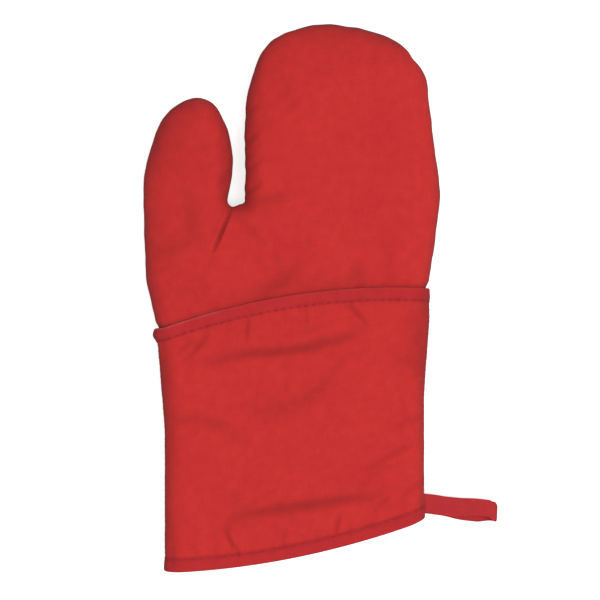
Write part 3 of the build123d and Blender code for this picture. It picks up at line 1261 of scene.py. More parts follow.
    def recess(self, place: Array) -> Array:
        """How far the hand is pressed in at each (x, y) by the cuff that lies over it.

        Args:
            place: (n, 2) points.

        Returns:
            The depth at each point.
        """
        past_hem = place[:, 1] - PATTERN.top_hem(place[:, 0])
        past_mouth = place[:, 1] - PATTERN.mouth(place[:, 0])
        under_hem = 1.5 * (1.0 - smooth_step(past_hem, -0.5, 4.5))
        under_panel = (1.0 - smooth_step(past_hem, -12.0, -5.0)) * smooth_step(past_mouth, 8.0, 15.0)
        return under_hem + 2.6 * under_panel

    def creased(self, points: Array) -> Array:
        """How far the folds lift the cloth at each point; they fade out at the seam.

        Args:
            points: (n, 3) points of the surface.

        Returns:
            The lift at each point.
        """
        front = points[:, 2] > PATTERN.middle
        lift = np.zeros(len(points))
        for fold in self.folds:
            lift[front] += fold.lift(points[front, :2])
        return lift

    def shade(self, points: Array) -> Array:
        """Painted shade at each point: in the creases and the seam's groove, beside the crotch gap, along the
        cuff's upper edge, and towards the fingertips and the thumb.

        Args:
            points: (n, 3) points of the surface.

        Returns:
            The darkness at each point, from 0 to 0.8.
        """
        front = points[:, 2] > PATTERN.middle
        dark = np.zeros(len(points))
        for fold in self.folds:
            dark[front] += fold.shade(points[front, :2])
        gap = np.hypot(along_line(points[:, :2], self.seam_line())[0], points[:, 2] - PATTERN.middle)
        past_hem = points[:, 1] - PATTERN.top_hem(points[:, 0])
        x, y = points[:, 0], points[:, 1]
        # Painted shade, darker towards the fingertips and over the thumb, and on the edges either side of the
        # crotch gap.
        dark += self.tip_shade * smooth_step(y, 262.0, 300.0)
        dark += self.tip_shade * (1.0 - smooth_step(x, -64.0, -28.0)) * smooth_step(y, 170.0, 215.0)
        above_crotch, split = smooth_step(y, 200.0, 206.0), -31.0
        dark += self.gap_shade * above_crotch * (x > split) * (1.0 - smooth_step(x, -27.0, -16.0))
        dark += self.gap_shade * above_crotch * (x < split) * smooth_step(x, -45.0, -37.0)
        dark += self.groove_shade * bell(gap, 2.4) + self.hem_shade * bell(past_hem, 1.5)
        return np.clip(dark, 0.0, 0.8)

    def sunk(self, points: Array) -> Array:
        """How far the surface lies below the plain cushion, which the layers under it have to clear.

        Args:
            points: (n, 3) points of the cushion.

        Returns:
            The depth at each point.
        """
        seam = self.seam_line()
        gap = np.hypot(along_line(points[:, :2], seam)[0], points[:, 2] - PATTERN.middle)
        groove = self.groove_depth * bell(gap, 1.6 * self.groove_width)
        return self.recess(points[:, :2]) + np.maximum(-self.creased(points), 0.0) + groove

    def unrolled(self, points: Array) -> Array:
        """Each point's place on the flat panel: the rim's curve is laid out straight, outwards.

        Args:
            points: (n, 3) points of the cushion.

        Returns:
            Each point's place, in millimetres.
        """
        seam = self.seam_line()
        inwards, _, nearest = along_line(points[:, :2], seam)
        inwards = np.abs(inwards)
        radius = PATTERN.rim_radius
        angle = np.arccos(np.clip(1.0 - inwards / radius, -1.0, 1.0))
        extra = np.where(inwards < radius, radius * (math.pi / 2 - angle) - (radius - inwards), 0.0)
        away = nearest - points[:, :2]
        away /= np.maximum(np.linalg.norm(away, axis=1, keepdims=True), 1e-6)
        return points[:, :2] + away * extra[:, None]

    def dressed(self, points: Array, faces: Array) -> Array:
        """Adds the seam groove, the puckers along it, the creases and the cuff's pressure to the surface.

        Args:
            points: the fine surface's points.
            faces: its faces.

        Returns:
            The points, moved.
        """
        seam = self.seam_line()
        normal = corner_normals(points, faces)
        inwards, share, _ = along_line(points[:, :2], seam)
        travel = share * np.linalg.norm(np.diff(seam, axis=0), axis=1).sum()
        height = points[:, 2] - PATTERN.middle
        gap = np.hypot(inwards, height)
        side = np.where(height > 0, 1.0, -1.0)
        pucker = ripple(travel, 14.0, 0.7) * (1 + side) / 2 + ripple(travel, 15.0, 2.9) * (1 - side) / 2
        lift = 0.30 * pucker * (gap / 7.0) ** 2 * np.exp(2.0 - 2.0 * gap / 7.0)
        lift -= self.groove_depth * bell(gap, self.groove_width)
        broad = ripple(points[:, 0] + 0.6 * points[:, 1], 71.0, 0.4) * ripple(points[:, 1], 93.0, 1.9)
        lift += 0.5 * broad * smooth_step(gap, 8.0, 22.0)
        lift += self.creased(points) * smooth_step(gap, 0.3, 3.0)
        lift -= self.recess(points[:, :2])
        points = points + normal * lift[:, None]
        points[:, 2] = np.maximum(points[:, 2], self.rest_height)
        return points

    def pieces(self) -> list[bpy.types.Object]:
        """Makes every layer of the hand and of the thumb, on both sides.

        Returns:
            The pieces, each with its place baked into its mesh.
        """
        coarse, triangles, region, held = self.stuff()
        coarse = self.swell(coarse, triangles, held)
        coarse[:, 2] = np.maximum(coarse[:, 2], self.rest_height)
        points, faces, number = self.subdivide(coarse, triangles, region)
        points = self.dressed(points, faces)
        normal, flat, dark = corner_normals(points, faces), self.unrolled(points), self.shade(points)
        soft = relax(coarse, triangles, 3)
        pressed = self.sunk(soft)
        soft_normal, soft_flat = corner_normals(soft, triangles), self.unrolled(soft)
        depth = 0.9 * pressed
        made = []
        for code, (area, side) in enumerate((a, s) for a in Area for s in Side):
            label = f"{area.value}_{{}}_{side.name.lower()}"
            shell = layer_between(points, normal, faces[number == code], flat, np.zeros(len(points)),
                                  np.full(len(points), self.shell), dark)
            piece = shell.piece(label.format("shell"), PANEL_COTTON, "red_cotton")
            chosen = triangles[region == code]
            outer, inner = pressed + self.wadding_outer, self.wadding_inner + depth
            wadding = layer_between(soft, soft_normal, chosen, soft_flat, outer, inner)
            pad = wadding.piece(label.format("wadding"), WADDING_FLEECE, "wadding")
            near = inner + self.lining_gap
            lining = layer_between(soft, soft_normal, chosen, soft_flat, near, near + self.lining)
            inside = lining.piece(label.format("lining"), LINING_COTTON, "lining")
            self.join(piece, "shell", area, side)
            self.join(pad, "wadding", area, side)
            self.join(inside, "lining", area, side)
            made += [piece, pad, inside]
        made += self.seam_stitches()
        return made

    def join(self, piece: bpy.types.Object, layer: str, area: Area, side: Side) -> None:
        """Hides the solids that a piece stands for, and bakes the piece's place into its mesh.

        Args:
            piece: the piece.
            layer: which layer it is, as the solids name it.
            area: hand or thumb.
            side: palm or back.
        """
        tail = side.name.lower()
        if area is Area.HAND:
            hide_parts(f"hand_{layer}_{tail}", f"finger_{layer}_{tail}")
        else:
            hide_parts(f"thumb_{layer}_{tail}")
        self.bend(piece, area)

    def bend(self, piece: bpy.types.Object, area: Area) -> None:
        """Bakes a piece's place into its mesh; the bend over the knuckles, or over the root of the thumb, is
        worked out but not made.

        Args:
            piece: the piece.
            area: hand or thumb.
        """
        x, y = PATTERN.crotch
        if area is Area.HAND:
            start, end = np.array([x, y + 1.0, 0.0]), np.array([x, y + self.finger_bend, 0.0])
        else:
            start = np.array([x, y, 0.0])
            end = start + self.thumb_bend * math.sqrt(0.5) * np.array([-1.0, 1.0, 0.0])
        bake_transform(piece)

    def seam_stitches(self) -> list[bpy.types.Object]:
        """The thread of the side seam, short stitches across its groove, on the hand and on the thumb.

        Returns:
            The two rows of stitches.
        """
        seam = resample(self.seam_line(), self.stitch_pitch)
        seam = seam[seam[:, 1] > PATTERN.top_hem(seam[:, 0]) + 3.0]
        inwards = self.inward(seam)
        place = seam + inwards * self.stitch_depth
        centre = np.column_stack([place, np.full(len(place), PATTERN.middle)])
        outwards = np.column_stack([-inwards, np.zeros(len(place))])
        upright = np.broadcast_to(np.array([0.0, 0.0, 1.0]), centre.shape)
        crotch = int(np.linalg.norm(seam - np.array(self.crease[0]), axis=1).argmin())
        thumb = np.arange(len(seam)) < crotch
        made = []
        for area, chosen in ((Area.HAND, ~thumb), (Area.THUMB, thumb)):
            row = stitch_row(centre[chosen], upright[chosen], outwards[chosen], SEAM_STITCH, THREAD_RADIUS)
            piece = row.piece(f"{area.value}_seam_thread", THREAD_COTTON, "thread")
            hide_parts(f"{area.value}_seam_thread", *(["finger_seam_thread"] * (area is Area.HAND)))
            self.bend(piece, area)
            made.append(piece)
        return made


# ------------------------------------------------------------------------------------------------- the cuff


@dataclass
class Cuff:
    """The cuff: a cloth sleeve over the wrist, a stitched hem at each edge, turned in round the mouth."""

    hem_width: float = 8.0
    height: float = 140.0
    side_cloth: float = 20.0
    hem_cloth: float = 1.25
    panel_drop: float = 0.55
    facing_depth: float = 7.65
    facing: float = 0.6
    stitch_inset: float = 6.9
    stitch_pitch: float = 4.2
    stitch_length: float = 2.7
    columns: int = 260
    panel_rows: int = 96
    corner_bulge: float = 1.7
    corner_drop: float = 2.4
    fullness: float = 0.9
    folds: tuple[Fold, ...] = (
        Fold(((-56.0, 113.5), (-40.0, 117.0), (-27.5, 119.6), (-2.8, 121.8), (13.8, 125.1), (33.0, 131.4),
              (42.0, 138.5)), 0.75, 2.2, 1.2, 5.8, 0.32),
        Fold(((28.0, 149.5), (33.5, 142.4), (39.0, 135.5)), 0.9, 1.2, 0.6, -2.6, 0.26),
        Fold(((-30.0, 127.0), (4.0, 134.5), (38.0, 141.0)), -0.6, 8.0),
        Fold(((-45.5, 133.5), (-52.8, 124.6), (-61.0, 115.5)), 0.8, 1.6, 0.5, 3.2, 0.17),
        Fold(((-55.0, 130.0), (-60.0, 124.0), (-66.0, 118.0)), 0.4, 1.5, 0.2, 3.0, 0.10),
        Fold(((-26.0, 141.0), (-26.4, 133.0), (-26.9, 125.0)), 0.6, 1.2, 0.4, 2.6, 0.14),
        Fold(((5.3, 146.0), (5.8, 141.0), (6.3, 135.5)), 0.4, 1.2, 0.25, 2.6, 0.06),
        Fold(((-28.0, 85.5), (-2.8, 91.6), (11.0, 99.8), (26.0, 114.0)), 0.6, 3.6, 0.4, 7.0, 0.15),
        Fold(((-74.0, 84.0), (-52.3, 84.7), (-41.3, 80.6), (-24.0, 69.0)), 0.5, 3.2, 0.3, 6.0, 0.13),
        Fold(((-37.5, 19.5), (-36.5, 26.0), (-31.6, 31.6), (-13.8, 35.2), (5.5, 38.2), (24.8, 40.7),
              (52.0, 45.5)), 0.75, 2.2, 1.2, -5.8, 0.30),
        Fold(((-38.6, 25.5), (-35.8, 18.7), (-29.5, 9.5)), 0.9, 1.1, 0.6, 2.6, 0.22),
        Fold(((-30.0, 16.0), (-6.0, 23.5), (22.0, 30.0)), -0.6, 7.0),
        Fold(((24.6, 34.0), (22.9, 28.5), (21.0, 20.5)), 0.6, 1.1, 0.4, 2.6, 0.15),
        Fold(((-5.0, 25.5), (-6.4, 20.0), (-8.2, 13.5)), 0.3, 1.3, 0.2, 2.6, 0.10),
        Fold(((42.0, 34.5), (47.0, 39.3), (52.5, 44.5)), 0.6, 1.3, 0.4, 2.8, 0.12),
        Fold(((35.0, 55.5), (52.3, 65.4), (71.0, 75.0)), 0.4, 1.7, 0.2, 3.4, 0.13),
        Fold(((30.0, 46.0), (46.8, 57.2), (64.0, 62.0)), 0.3, 1.7, 0.2, 3.4, 0.09),
        Fold(((47.0, 75.5), (60.5, 83.3), (73.0, 86.5)), 0.3, 1.7, 0.2, 3.4, 0.09),
        Fold(((56.0, 40.0), (63.0, 46.5), (72.0, 52.0)), 0.3, 1.7, 0.2, 3.4, 0.09),
        Fold(((70.5, 168.0), (69.5, 146.0), (68.0, 124.0), (71.5, 94.0)), 0.3, 5.5, 0.0, 3.0, 0.20),
        Fold(((-74.0, 122.0), (-72.0, 108.0), (-74.0, 88.0)), 0.2, 4.5, 0.0, 3.0, 0.08),
        Fold(((50.0, 130.0), (58.0, 118.0), (70.0, 112.0)), 0.3, 3.0, 0.2, 5.0, 0.06),
    )

    def __post_init__(self) -> None:
        """Reads the two sides of the wrist off the outline."""
        line = PATTERN.outline(2.0)
        half = len(line) // 2
        self.left_side, self.right_side = line[:half], line[half:][::-1]

    def sides(self, y: Array) -> tuple[Array, Array]:
        """The left and right edge of the wrist, with the hem's corner standing out on the left.

        Args:
            y: the heights.

        Returns:
            The left and the right x at each height.
        """
        left = self.left_side[: np.searchsorted(self.left_side[:, 1], 170.0)]
        right = self.right_side[: np.searchsorted(self.right_side[:, 1], 170.0)]
        bulge = self.corner_bulge * bell(y - PATTERN.top_hem_levels[0] + self.corner_drop, 3.4)
        low = np.interp(y, left[:, 1], left[:, 0]) - bulge - self.fullness
        return low, np.interp(y, right[:, 1], right[:, 0]) + self.fullness

    def section(self, u: Array, y: Array, depth: Array) -> tuple[Array, Array, Array]:
        """The sleeve's cross-section: flat on top, a quarter circle at each side and a short wall.

        Args:
            u: share of the way from the left side seam (-1) to the right one (1), along the cloth.
            y: height up the wrist.
            depth: distance below the outer surface.

        Returns:
            x, height above the side seam, and distance along the cloth from the nearer side seam.
        """
        left, right = self.sides(y)
        half, radius = 0.5 * (right - left) - depth, PATTERN.rim_radius - depth
        wall = PATTERN.middle - PATTERN.rim_radius
        flat, arc = half - radius, radius * math.pi / 2.0
        travel = np.abs(u) * (flat + arc + wall)
        angle = np.clip((travel - flat) / radius, 0.0, math.pi / 2.0)
        x = np.minimum(travel, flat) + radius * np.sin(angle)
        z = wall + radius * np.cos(angle) - np.maximum(travel - flat - arc, 0.0)
        return 0.5 * (left + right) + np.sign(u) * x, z, flat + arc + wall - travel

    def surface(self, u: Array, t: Array, offset: Array, depth: Array, side: Side) -> tuple[Array, Array]:
        """Points of the sleeve before its folds.

        A row's height is a blend t of the two hem edges plus an offset; as an edge's height depends on x
        and x on the height, both are settled in a few rounds.

        Args:
            u: share of the way across, from -1 to 1.
            t: blend from the mouth to the upper edge.
            offset: what is added to the height.
            depth: distance below the outer surface.
            side: which panel.

        Returns:
            The points, and each one's distance along the cloth from the nearer side seam.
        """
        x = np.zeros_like(u)
        for _ in range(4):
            y = (1.0 - t) * PATTERN.mouth(x) + t * PATTERN.top_hem(x) + offset
            x, z, edge = self.section(u, y, depth)
        return np.stack([x, y, PATTERN.middle + side.value * z], -1), edge

    def lift(self, points: Array, edge: Array, u: Array, side: Side) -> Array:
        """How far folds, puckers, stitch dimples and the side groove move the cloth outwards.

        Args:
            points: points of the plain sleeve.
            edge: their distance from the nearer side seam.
            u: their share of the way across.
            side: which panel.

        Returns:
            The lift at each point, in millimetres.
        """
        x, y = points[..., 0], points[..., 1]
        half_run = edge / np.maximum(1.0 - np.abs(u), 1e-6)
        half_run = np.where(np.abs(u) > 0.999, np.median(half_run), half_run)
        travel = u * half_run
        lift = -0.75 * bell(edge, 1.1)
        lift += 0.20 * ripple(y, 17.0, 0.4 + side.value) * (edge / 7.0) ** 2 * np.exp(2.0 - edge / 3.5)
        phase = np.mod(travel + 0.5 * self.stitch_pitch, self.stitch_pitch) - 0.5 * self.stitch_pitch
        for gap, seed in ((y - PATTERN.mouth(x) - self.stitch_inset, 0.9),
                          (PATTERN.top_hem(x) - self.stitch_inset - y, 2.3)):
            pull = 0.7 + 0.3 * ripple(travel, 11.0, 2.0 * seed)
            dimple = 0.24 * bell(gap, 1.5) + 0.30 * pull * bell(gap, 0.8) * bell(phase, 1.35)
            into_panel = np.exp(-np.maximum(gap, 0.0) / 6.5) * np.exp(-np.maximum(-gap, 0.0) / 3.0)
            lift += 0.48 * ripple(travel, 10.5, seed) * into_panel * (1.0 - 0.5 * bell(gap, 1.0)) - dimple
        calm = smooth_step(y - PATTERN.mouth(x), 2.0, 14.0) * smooth_step(PATTERN.top_hem(x) - y, 2.0, 14.0)
        broad = ripple(x + 0.35 * y, 47.0, 1.1) * ripple(y - 0.2 * x, 38.0, 0.3)
        lift += 0.45 * broad * calm * smooth_step(edge, 5.0, 20.0)
        if side is Side.FRONT:
            place = points[..., :2].reshape(-1, 2)
            folded = sum(fold.lift(place) for fold in self.folds).reshape(lift.shape)
            lift += folded * smooth_step(edge, 1.0, 8.0)
        else:
            slack = 0.5 * ripple(x - 0.5 * y, 33.0, 4.0) * ripple(y, 52.0, 1.0)
            lift += slack * calm * smooth_step(edge, 4.0, 14.0)
        return lift

    def lifted(self, u: Array, t: Array, offset: Array, depth: Array,
               side: Side) -> tuple[Array, Array, Array]:
        """Points of the finished cloth, the unit direction across the cuff, and the unit outward normal.

        Args:
            u: share of the way across, from -1 to 1.
            t: blend from the mouth to the upper edge.
            offset: what is added to the height.
            depth: distance below the outer surface.
            side: which panel.

        Returns:
            The points, the directions across, and the normals.
        """
        small = 0.01
        points, edge = self.surface(u, t, offset, depth, side)
        across = self.surface(np.minimum(u + small, 1.0), t, offset, depth, side)[0]
        across -= self.surface(np.maximum(u - small, -1.0), t, offset, depth, side)[0]
        up = self.surface(u, t, offset + 0.5, depth, side)[0] - points
        across /= np.linalg.norm(across, axis=-1, keepdims=True)
        normal = np.cross(across, up) * side.value
        normal /= np.linalg.norm(normal, axis=-1, keepdims=True)
        outer = np.clip((3.0 - depth) / 1.5, 0.0, 1.0)
        lift = self.lift(points, edge, u, side) * outer
        points = points + normal * lift[..., None]
        points[..., 2] = np.maximum(points[..., 2], 0.1)
        return points, across, normal

    def profile(self) -> tuple[Array, Array, Array, Array]:
        """The cloth's cut edge, followed once round: blend of the hem edges, offset, depth, and hem flag.

        It starts inside the mouth, rounds the mouth's edge, climbs the outside, rounds the upper edge and
        comes back down the inside to the end of the turned-in facing.

        Returns:
            The blends, offsets, depths and flags, from the mouth's inside round to its facing.
        """
        inner, deep = self.facing_depth, self.facing_depth + self.facing
        hem, drop = self.hem_width, self.panel_drop
        steps = int(hem / 0.5)
        rise = np.linspace(1.0, hem - 0.9, steps)
        share = np.linspace(0.0, 1.0, self.panel_rows + 2)[1:-1]
        rows = [(0.0, 4.0, deep, 1), (0.0, 1.0, deep, 1), (0.0, 0.2, deep - 0.25, 1),
                (0.0, 0.0, inner - 0.3, 1), (0.0, 0.0, 4.5, 1), (0.0, 0.0, 1.6, 1), (0.0, 0.1, 0.7, 1),
                (0.0, 0.35, 0.25, 1)]
        rows += [(0.0, value, 0.0, 1) for value in rise]
        rows += [(0.0, hem - 0.3, 0.25 * drop, 1), (0.0, hem + 0.4, drop, 0)]
        rows += [(value, (hem + 1.0) * (1.0 - 2.0 * value), drop, 0) for value in share]
        rows += [(1.0, -hem - 0.4, drop, 0), (1.0, 0.3 - hem, 0.25 * drop, 1)]
        rows += [(1.0, -value, 0.0, 1) for value in rise[::-1]]
        rows += [(1.0, -0.45, 0.1, 1), (1.0, -0.1, 0.4, 1), (1.0, 0.0, 0.75, 1), (1.0, -0.3, 1.1, 1),
                 (1.0, -1.0, self.hem_cloth, 1)]
        rows += [(value, (hem + 1.0) * (1.0 - 2.0 * value), self.hem_cloth, 0) for value in share[::-4]]
        rows += [(0.0, 4.0, self.hem_cloth, 1), (0.0, 1.2, self.hem_cloth + 0.1, 1),
                 (0.0, 1.2, inner - 0.2, 1), (0.0, 4.0, inner, 1), (0.0, hem, inner, 1),
                 (0.0, hem + 0.15, 0.5 * (inner + deep), 1), (0.0, hem, deep, 1)]
        return tuple(np.array(rows).T)

    def shade(self, points: Array, place: Array, side: Side) -> Array:
        """Painted shade in the folds, along the stitch rows and at the hem edges, and a painted highlight
        along the upper lip.

        Args:
            points: points of the finished cloth.
            place: their blend, offset and depth.
            side: which panel.

        Returns:
            The painted shade, below zero where a painted highlight makes the cloth paler.
        """
        x, y = points[..., 0], points[..., 1]
        dark = np.zeros(x.shape)
        if side is Side.FRONT:
            flat = points[..., :2].reshape(-1, 2)
            dark += sum(fold.shade(flat) for fold in self.folds).reshape(x.shape)
        past_mouth, below_top = y - PATTERN.mouth(x), PATTERN.top_hem(x) - y
        # Painted shade along each stitch row, deeper at each stitch's dimple.
        for gap in (past_mouth, below_top):
            sewn = (0.5 + 0.5 * ripple(x, 9.7, 1.9)) * bell(np.mod(x, self.stitch_pitch) - 2.1, 1.0)
            off_row = gap - self.stitch_inset
            dark += 0.08 * bell(off_row, 1.5) + 0.24 * sewn * bell(off_row, 0.9)
        # A painted highlight along the rounded upper lip, strongest at the left end.
        lip = bell(below_top, 0.75) * (place[..., 0] > 0.5) * (place[..., 2] < 0.9)
        tone_and_highlight = (0.7 + 0.3 * ripple(x, 23.0, 0.8)) * (0.16 + 0.60 * (1.0 - smooth_step(x, -54.0, -34.0)))
        return np.clip(dark, 0.0, 0.6) * (1.0 - lip) - 0.75 * lip * tone_and_highlight

    def panel(self, side: Side) -> tuple[Cloth, Array]:
        """One panel of the cuff as a closed piece of cloth, and which of its faces are hem.

        Args:
            side: which panel.

        Returns:
            The cloth, and 1 for each face that is hem, else 0.
        """
        t, offset, depth, hem = self.profile()
        rows = len(t)
        u = np.linspace(-1.0, 1.0, self.columns)
        grid_u = np.broadcast_to(u, (rows, self.columns)).copy()
        spread = [np.broadcast_to(value[:, None], grid_u.shape).copy() for value in (t, offset, depth)]
        points = self.lifted(grid_u, *spread, side)[0]
        faces = grid_faces(rows, self.columns, closed_rows=True)
        ends = np.stack([np.arange(rows) * self.columns, np.arange(rows) * self.columns + self.columns - 1])
        ends[0] = ends[0][::-1]
        if side is Side.BACK:
            faces, ends = faces[:, ::-1], ends[:, ::-1]
        flat_points = points.reshape(-1, 3)
        normal = corner_normals(flat_points, faces)
        caps = np.broadcast_to(np.array([0.0, 0.0, -1.0 * side.value]), (2 * rows, 3))
        step = np.hypot(np.diff(t) * self.height + np.diff(offset), np.diff(depth))
        climb = np.broadcast_to(np.concatenate([[0.0], np.cumsum(step)])[:, None], grid_u.shape)
        flat = np.stack([grid_u * (PATTERN.half_wrist + 0.5 * self.side_cloth), climb], -1)
        dark = self.shade(points, np.stack(spread, -1), side).ravel()
        corner = np.vstack([normal[faces.ravel()], caps])
        cloth = Cloth(flat_points, [faces, ends], flat.reshape(-1, 2), corner, dark)
        is_hem = np.repeat(hem, self.columns - 1)
        return cloth, np.concatenate([is_hem, [1.0, 1.0]])

    def pieces(self) -> list[bpy.types.Object]:
        """Makes both panels, their stitch rows and the thread of the side seams.

        Returns:
            The pieces, each on its body.
        """
        made = []
        for side in Side:
            tail = side.name.lower()
            cloth, hem = self.panel(side)
            piece = cloth.piece(f"cuff_{tail}", PANEL_COTTON, "cuff_cotton")
            piece.data.materials.append(HEM_COTTON.make())
            piece.data.polygons.foreach_set("material_index", hem.astype(np.int32))
            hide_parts(f"cuff_{tail}")
            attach(piece, "hand")
            rows = self.stitch_rows(side)
            made += [piece, *rows]
        made.append(self.side_thread())
        return made

    def stitch_rows(self, side: Side) -> list[bpy.types.Object]:
        """The stitches of both hems on one panel, one to each pitch along the cloth, in their dimples.

        Args:
            side: which panel.

        Returns:
            The upper hem's row and the mouth's row.
        """
        made = []
        inset = self.stitch_inset
        for label, t, offset in (("top_hem", 1.0, -inset), ("mouth_hem", 0.0, inset)):
            level = PATTERN.top_hem_levels[1] if t else PATTERN.mouth_levels[1]
            _, _, edge = self.section(np.zeros(1), np.array([level]), np.zeros(1))
            half_run = float(edge[0])
            count = int((half_run - 2.0) / self.stitch_pitch)
            u = np.arange(-count, count + 1) * self.stitch_pitch / half_run
            ones = np.ones_like(u)
            points, along, normal = self.lifted(u, t * ones, offset * ones, 0.0 * ones, side)
            row = stitch_row(points, along, normal, self.stitch_length, THREAD_RADIUS)
            name = f"{label}_stitches_{side.name.lower()}"
            piece = row.piece(name, THREAD_COTTON, "thread")
            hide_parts(name)
            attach(piece, "hand")
            made.append(piece)
        return made

    def side_thread(self) -> bpy.types.Object:
        """The thread of the cuff's two side seams: short stitches across the groove.

        Returns:
            The thread's piece.
        """
        rise = np.linspace(0.07, 0.93, 34)
        u = np.concatenate([-np.ones_like(rise), np.ones_like(rise)])
        t = np.concatenate([rise, rise])
        points, _ = self.surface(u, t, 0.0 * u, 0.55 + 0.0 * u, Side.FRONT)
        outwards = np.stack([np.sign(u), 0.0 * u, 0.0 * u], -1)
        upright = np.broadcast_to(np.array([0.0, 0.0, 1.0]), points.shape)
        row = stitch_row(points, upright, outwards, SEAM_STITCH, THREAD_RADIUS)
        piece = row.piece("cuff_seam_thread", THREAD_COTTON, "thread")
        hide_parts("cuff_seam_thread")
        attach(piece, "hand")
        return piece


# ----------------------------------------------------------------------------------------- the hanging loop


@dataclass
class HangingLoop:
    """A tape folded double, its ends sewn into the cuff's side seam and its bend left open as an eye."""

    width: float = 10.8
    tape: float = 0.9
    turn: float = math.radians(-8.0)
    droop: float = math.radians(12.0)
    skew: float = 1.8
    tip: float = 40.0
    route: Line = (
        (-9.0, -0.5), (-4.0, -0.5), (-1.0, -0.55), (4.0, -0.9), (10.0, -1.6), (18.0, -2.6), (26.0, -3.4),
        (32.4, -3.7), (37.0, -3.1), (39.6, -1.3), (40.0, 0.9), (38.4, 2.8), (35.0, 3.7), (28.0, 3.5),
        (19.0, 2.6), (10.0, 1.6), (4.0, 0.9), (-1.0, 0.55), (-4.0, 0.5), (-9.0, 0.5),
    )

    def pivot(self) -> Array:
        """Where the tape leaves the seam, from the frame's joint."""
        joint = next(j for j in frame["joints"] if j["name"] == "loop_swing")
        return np.array(joint["pos_m"]) / MILLIMETRE - SHIFT

    def axes(self) -> tuple[Array, Array, Array]:
        """Unit directions out along the loop, across the tape and up through it.

        Returns:
            The three directions.
        """
        level = np.array([math.cos(self.turn), math.sin(self.turn), 0.0])
        out = level * math.cos(self.droop) - np.array([0.0, 0.0, math.sin(self.droop)])
        across = np.array([-math.sin(self.turn), math.cos(self.turn), 0.0])
        return out, across, np.cross(out, across)

    def band(self) -> Cloth:
        """The tape: a flat section with rounded, slightly thicker edges, carried along the loop's line.

        Returns:
            The tape, closed at both ends.
        """
        line = curve_through(self.route, 0.7)
        rows = len(line)
        travel = np.concatenate([[0.0], np.cumsum(np.linalg.norm(np.diff(line, axis=0), axis=1))])
        run = np.gradient(line, axis=0)
        run /= np.linalg.norm(run, axis=1, keepdims=True)
        normal = np.column_stack([run[:, 1], -run[:, 0]])
        share = travel / travel[-1]
        x, to_tip = line[:, 0], self.tip - line[:, 0]
        upper = (share > 0.5) * smooth_step(to_tip, 0.0, 6.5) * smooth_step(x, 14.0, 29.0)
        lower = (share < 0.5) * smooth_step(to_tip, 0.0, 10.0) * smooth_step(x, 2.0, 26.0)
        drift = self.skew * (upper - lower)
        turn = np.linspace(0.0, 2.0 * math.pi, 40, endpoint=False)
        reach = np.sign(np.cos(turn)) * np.abs(np.cos(turn)) ** 0.35
        thick = np.sign(np.sin(turn)) * np.abs(np.sin(turn)) ** 0.55
        thick *= 0.86 + 0.14 * bell(np.abs(reach) - 0.9, 0.12)
        sag = 0.12 * ripple(travel, 17.0, 0.6)
        flat_width = 0.5 * self.width * (1.0 - 0.12 * upper)
        drift += 0.10 * ripple(travel, 19.0, 1.4)
        across = flat_width[:, None] * reach[None] + drift[:, None]
        height = 0.5 * self.tape * thick[None] + (sag * smooth_step(line[:, 0], 3.0, 12.0))[:, None]
        near_tip = smooth_step(line[:, :1], 30.0, self.tip)
        trimmed = 0.10 * across + 1.1 * smooth_step(across, 3.2, 5.6) + 0.4 * smooth_step(-across, 4.2, 5.6)
        local_x = line[:, :1] + normal[:, :1] * height - near_tip * trimmed
        local_z = line[:, 1:] + normal[:, 1:] * height
        out, side, up = self.axes()
        points = self.pivot() + local_x[..., None] * out + across[..., None] * side + local_z[..., None] * up
        faces = grid_faces(rows, len(turn), closed_columns=True)
        ends = np.stack([np.arange(len(turn))[::-1], np.arange(len(turn)) + (rows - 1) * len(turn)])
        flat = np.stack([across, np.broadcast_to(travel[:, None], across.shape)], -1)
        return Cloth(points.reshape(-1, 3), [faces, ends], flat.reshape(-1, 2))

    def pieces(self) -> list[bpy.types.Object]:
        """Makes the tape and bakes its place into its mesh.

        Returns:
            The tape's piece.
        """
        cloth = self.band()
        face_outwards(cloth)
        piece = cloth.piece("hanging_loop", TAPE_COTTON, "tape")
        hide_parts("hanging_loop", "loop_tails")
        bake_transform(piece)
        return [piece]


# ------------------------------------------------------------------------------------- floor, light, camera


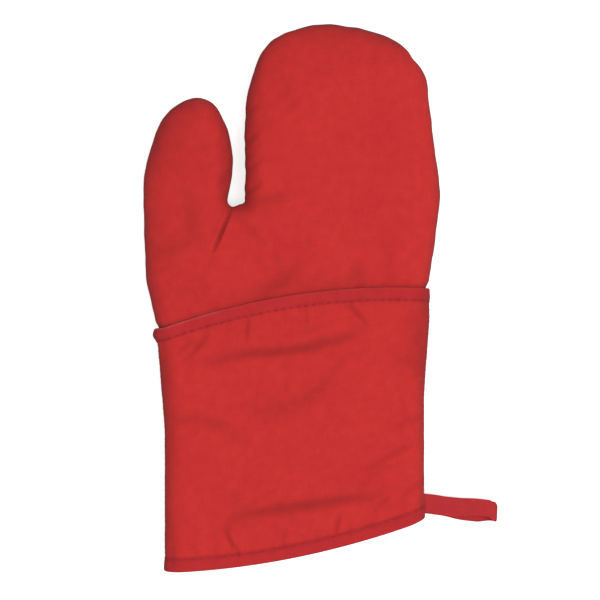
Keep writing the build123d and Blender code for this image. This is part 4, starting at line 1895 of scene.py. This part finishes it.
@dataclass
class Studio:
    """A plain pale floor, broad soft light from above and a long lens looking straight down."""

    view_width: float = 330.0
    view_centre: tuple[float, float] = (2.75, 149.3)
    lens: float = 110.0
    sensor: float = 36.0
    floor_half: float = 4.0

    def floor(self) -> None:
        """A wide sheet just under the mitt."""
        half = self.floor_half
        mesh = bpy.data.meshes.new("floor")
        corners = [(-half, -half, 0.0), (half, -half, 0.0), (half, half, 0.0), (-half, half, 0.0)]
        mesh.from_pydata(corners, [], [(0, 1, 2, 3)])
        material = bpy.data.materials.new("pale floor")
        material.use_nodes = True
        build = NodeBuilder(material.node_tree)
        shader = material.node_tree.nodes["Principled BSDF"]
        place = material.node_tree.nodes.new("ShaderNodeTexCoord").outputs["Object"]
        tone = build.noise(place, 3.0, 2.0)
        paper = build.mix_colour(tone, (0.93, 0.93, 0.93, 1.0), (0.95, 0.95, 0.95, 1.0))
        seen = material.node_tree.nodes.new("ShaderNodeLightPath").outputs["Is Camera Ray"]
        build.link(build.mix_colour(seen, (0.42, 0.42, 0.42, 1.0), paper), shader.inputs["Base Color"])
        shader.inputs["Roughness"].default_value = 0.9
        shader.inputs["Specular IOR Level"].default_value = 0.1
        shader.inputs["Emission Color"].default_value = (1.0, 1.0, 1.0, 1.0)
        build.link(build.math("MULTIPLY", seen, 0.6), shader.inputs["Emission Strength"])
        mesh.materials.append(material)
        floor = bpy.data.objects.new("floor", mesh)
        bpy.context.scene.collection.objects.link(floor)

    def light(self, name: str, place: tuple[float, float, float], size: float, power: float) -> None:
        """A square soft light that faces the mitt.

        Args:
            name: its name.
            place: where it stands, in metres.
            size: the length of its sides.
            power: its power in watts.
        """
        data = bpy.data.lights.new(name, "AREA")
        data.shape, data.size, data.energy = "SQUARE", size, power
        lamp = bpy.data.objects.new(name, data)
        lamp.location = place
        lamp.rotation_mode = "QUATERNION"
        lamp.rotation_quaternion = (-Vector(place)).to_track_quat("-Z", "Y")
        bpy.context.scene.collection.objects.link(lamp)

    def camera(self) -> None:
        """The lens straight above, its picture `view_width` wide at the side seam's height."""
        data = bpy.data.cameras.new("camera")
        data.lens, data.sensor_width = self.lens, self.sensor
        data.clip_start, data.clip_end = 0.01, 100.0
        lens = bpy.data.objects.new("camera", data)
        centre = PATTERN.to_frame(np.array([*self.view_centre, PATTERN.middle]))
        centre[2] += self.view_width * MILLIMETRE * self.lens / self.sensor
        lens.location = tuple(centre)
        bpy.context.scene.collection.objects.link(lens)
        bpy.context.scene.camera = lens

    def build(self) -> None:
        """Sets up the whole studio."""
        scene = bpy.context.scene
        scene.view_settings.view_transform = "Standard"
        world = bpy.data.worlds.new("studio")
        world.use_nodes = True
        world.node_tree.nodes["Background"].inputs["Color"].default_value = (1.0, 1.0, 1.0, 1.0)
        build = NodeBuilder(world.node_tree)
        seen = world.node_tree.nodes.new("ShaderNodeLightPath").outputs["Is Camera Ray"]
        build.link(build.mix_value(seen, 0.36, 1.0), world.node_tree.nodes["Background"].inputs["Strength"])
        scene.world = world
        self.floor()
        self.light("key from the right", (1.05, -0.25, 2.15), 1.2, 24.0)
        self.light("overhead", (-0.1, -0.15, 2.4), 1.6, 16.5)
        self.camera()


def main() -> None:
    """Builds the mitt from the hand outwards, then the studio."""
    logging.basicConfig(level=logging.INFO, format="%(message)s")
    Studio().build()
    for part in (Hand(), Cuff(), HangingLoop()):
        made = part.pieces()
        LOG.info("%s: %d pieces", type(part).__name__, len(made))


if __name__ == "__main__":
    main()
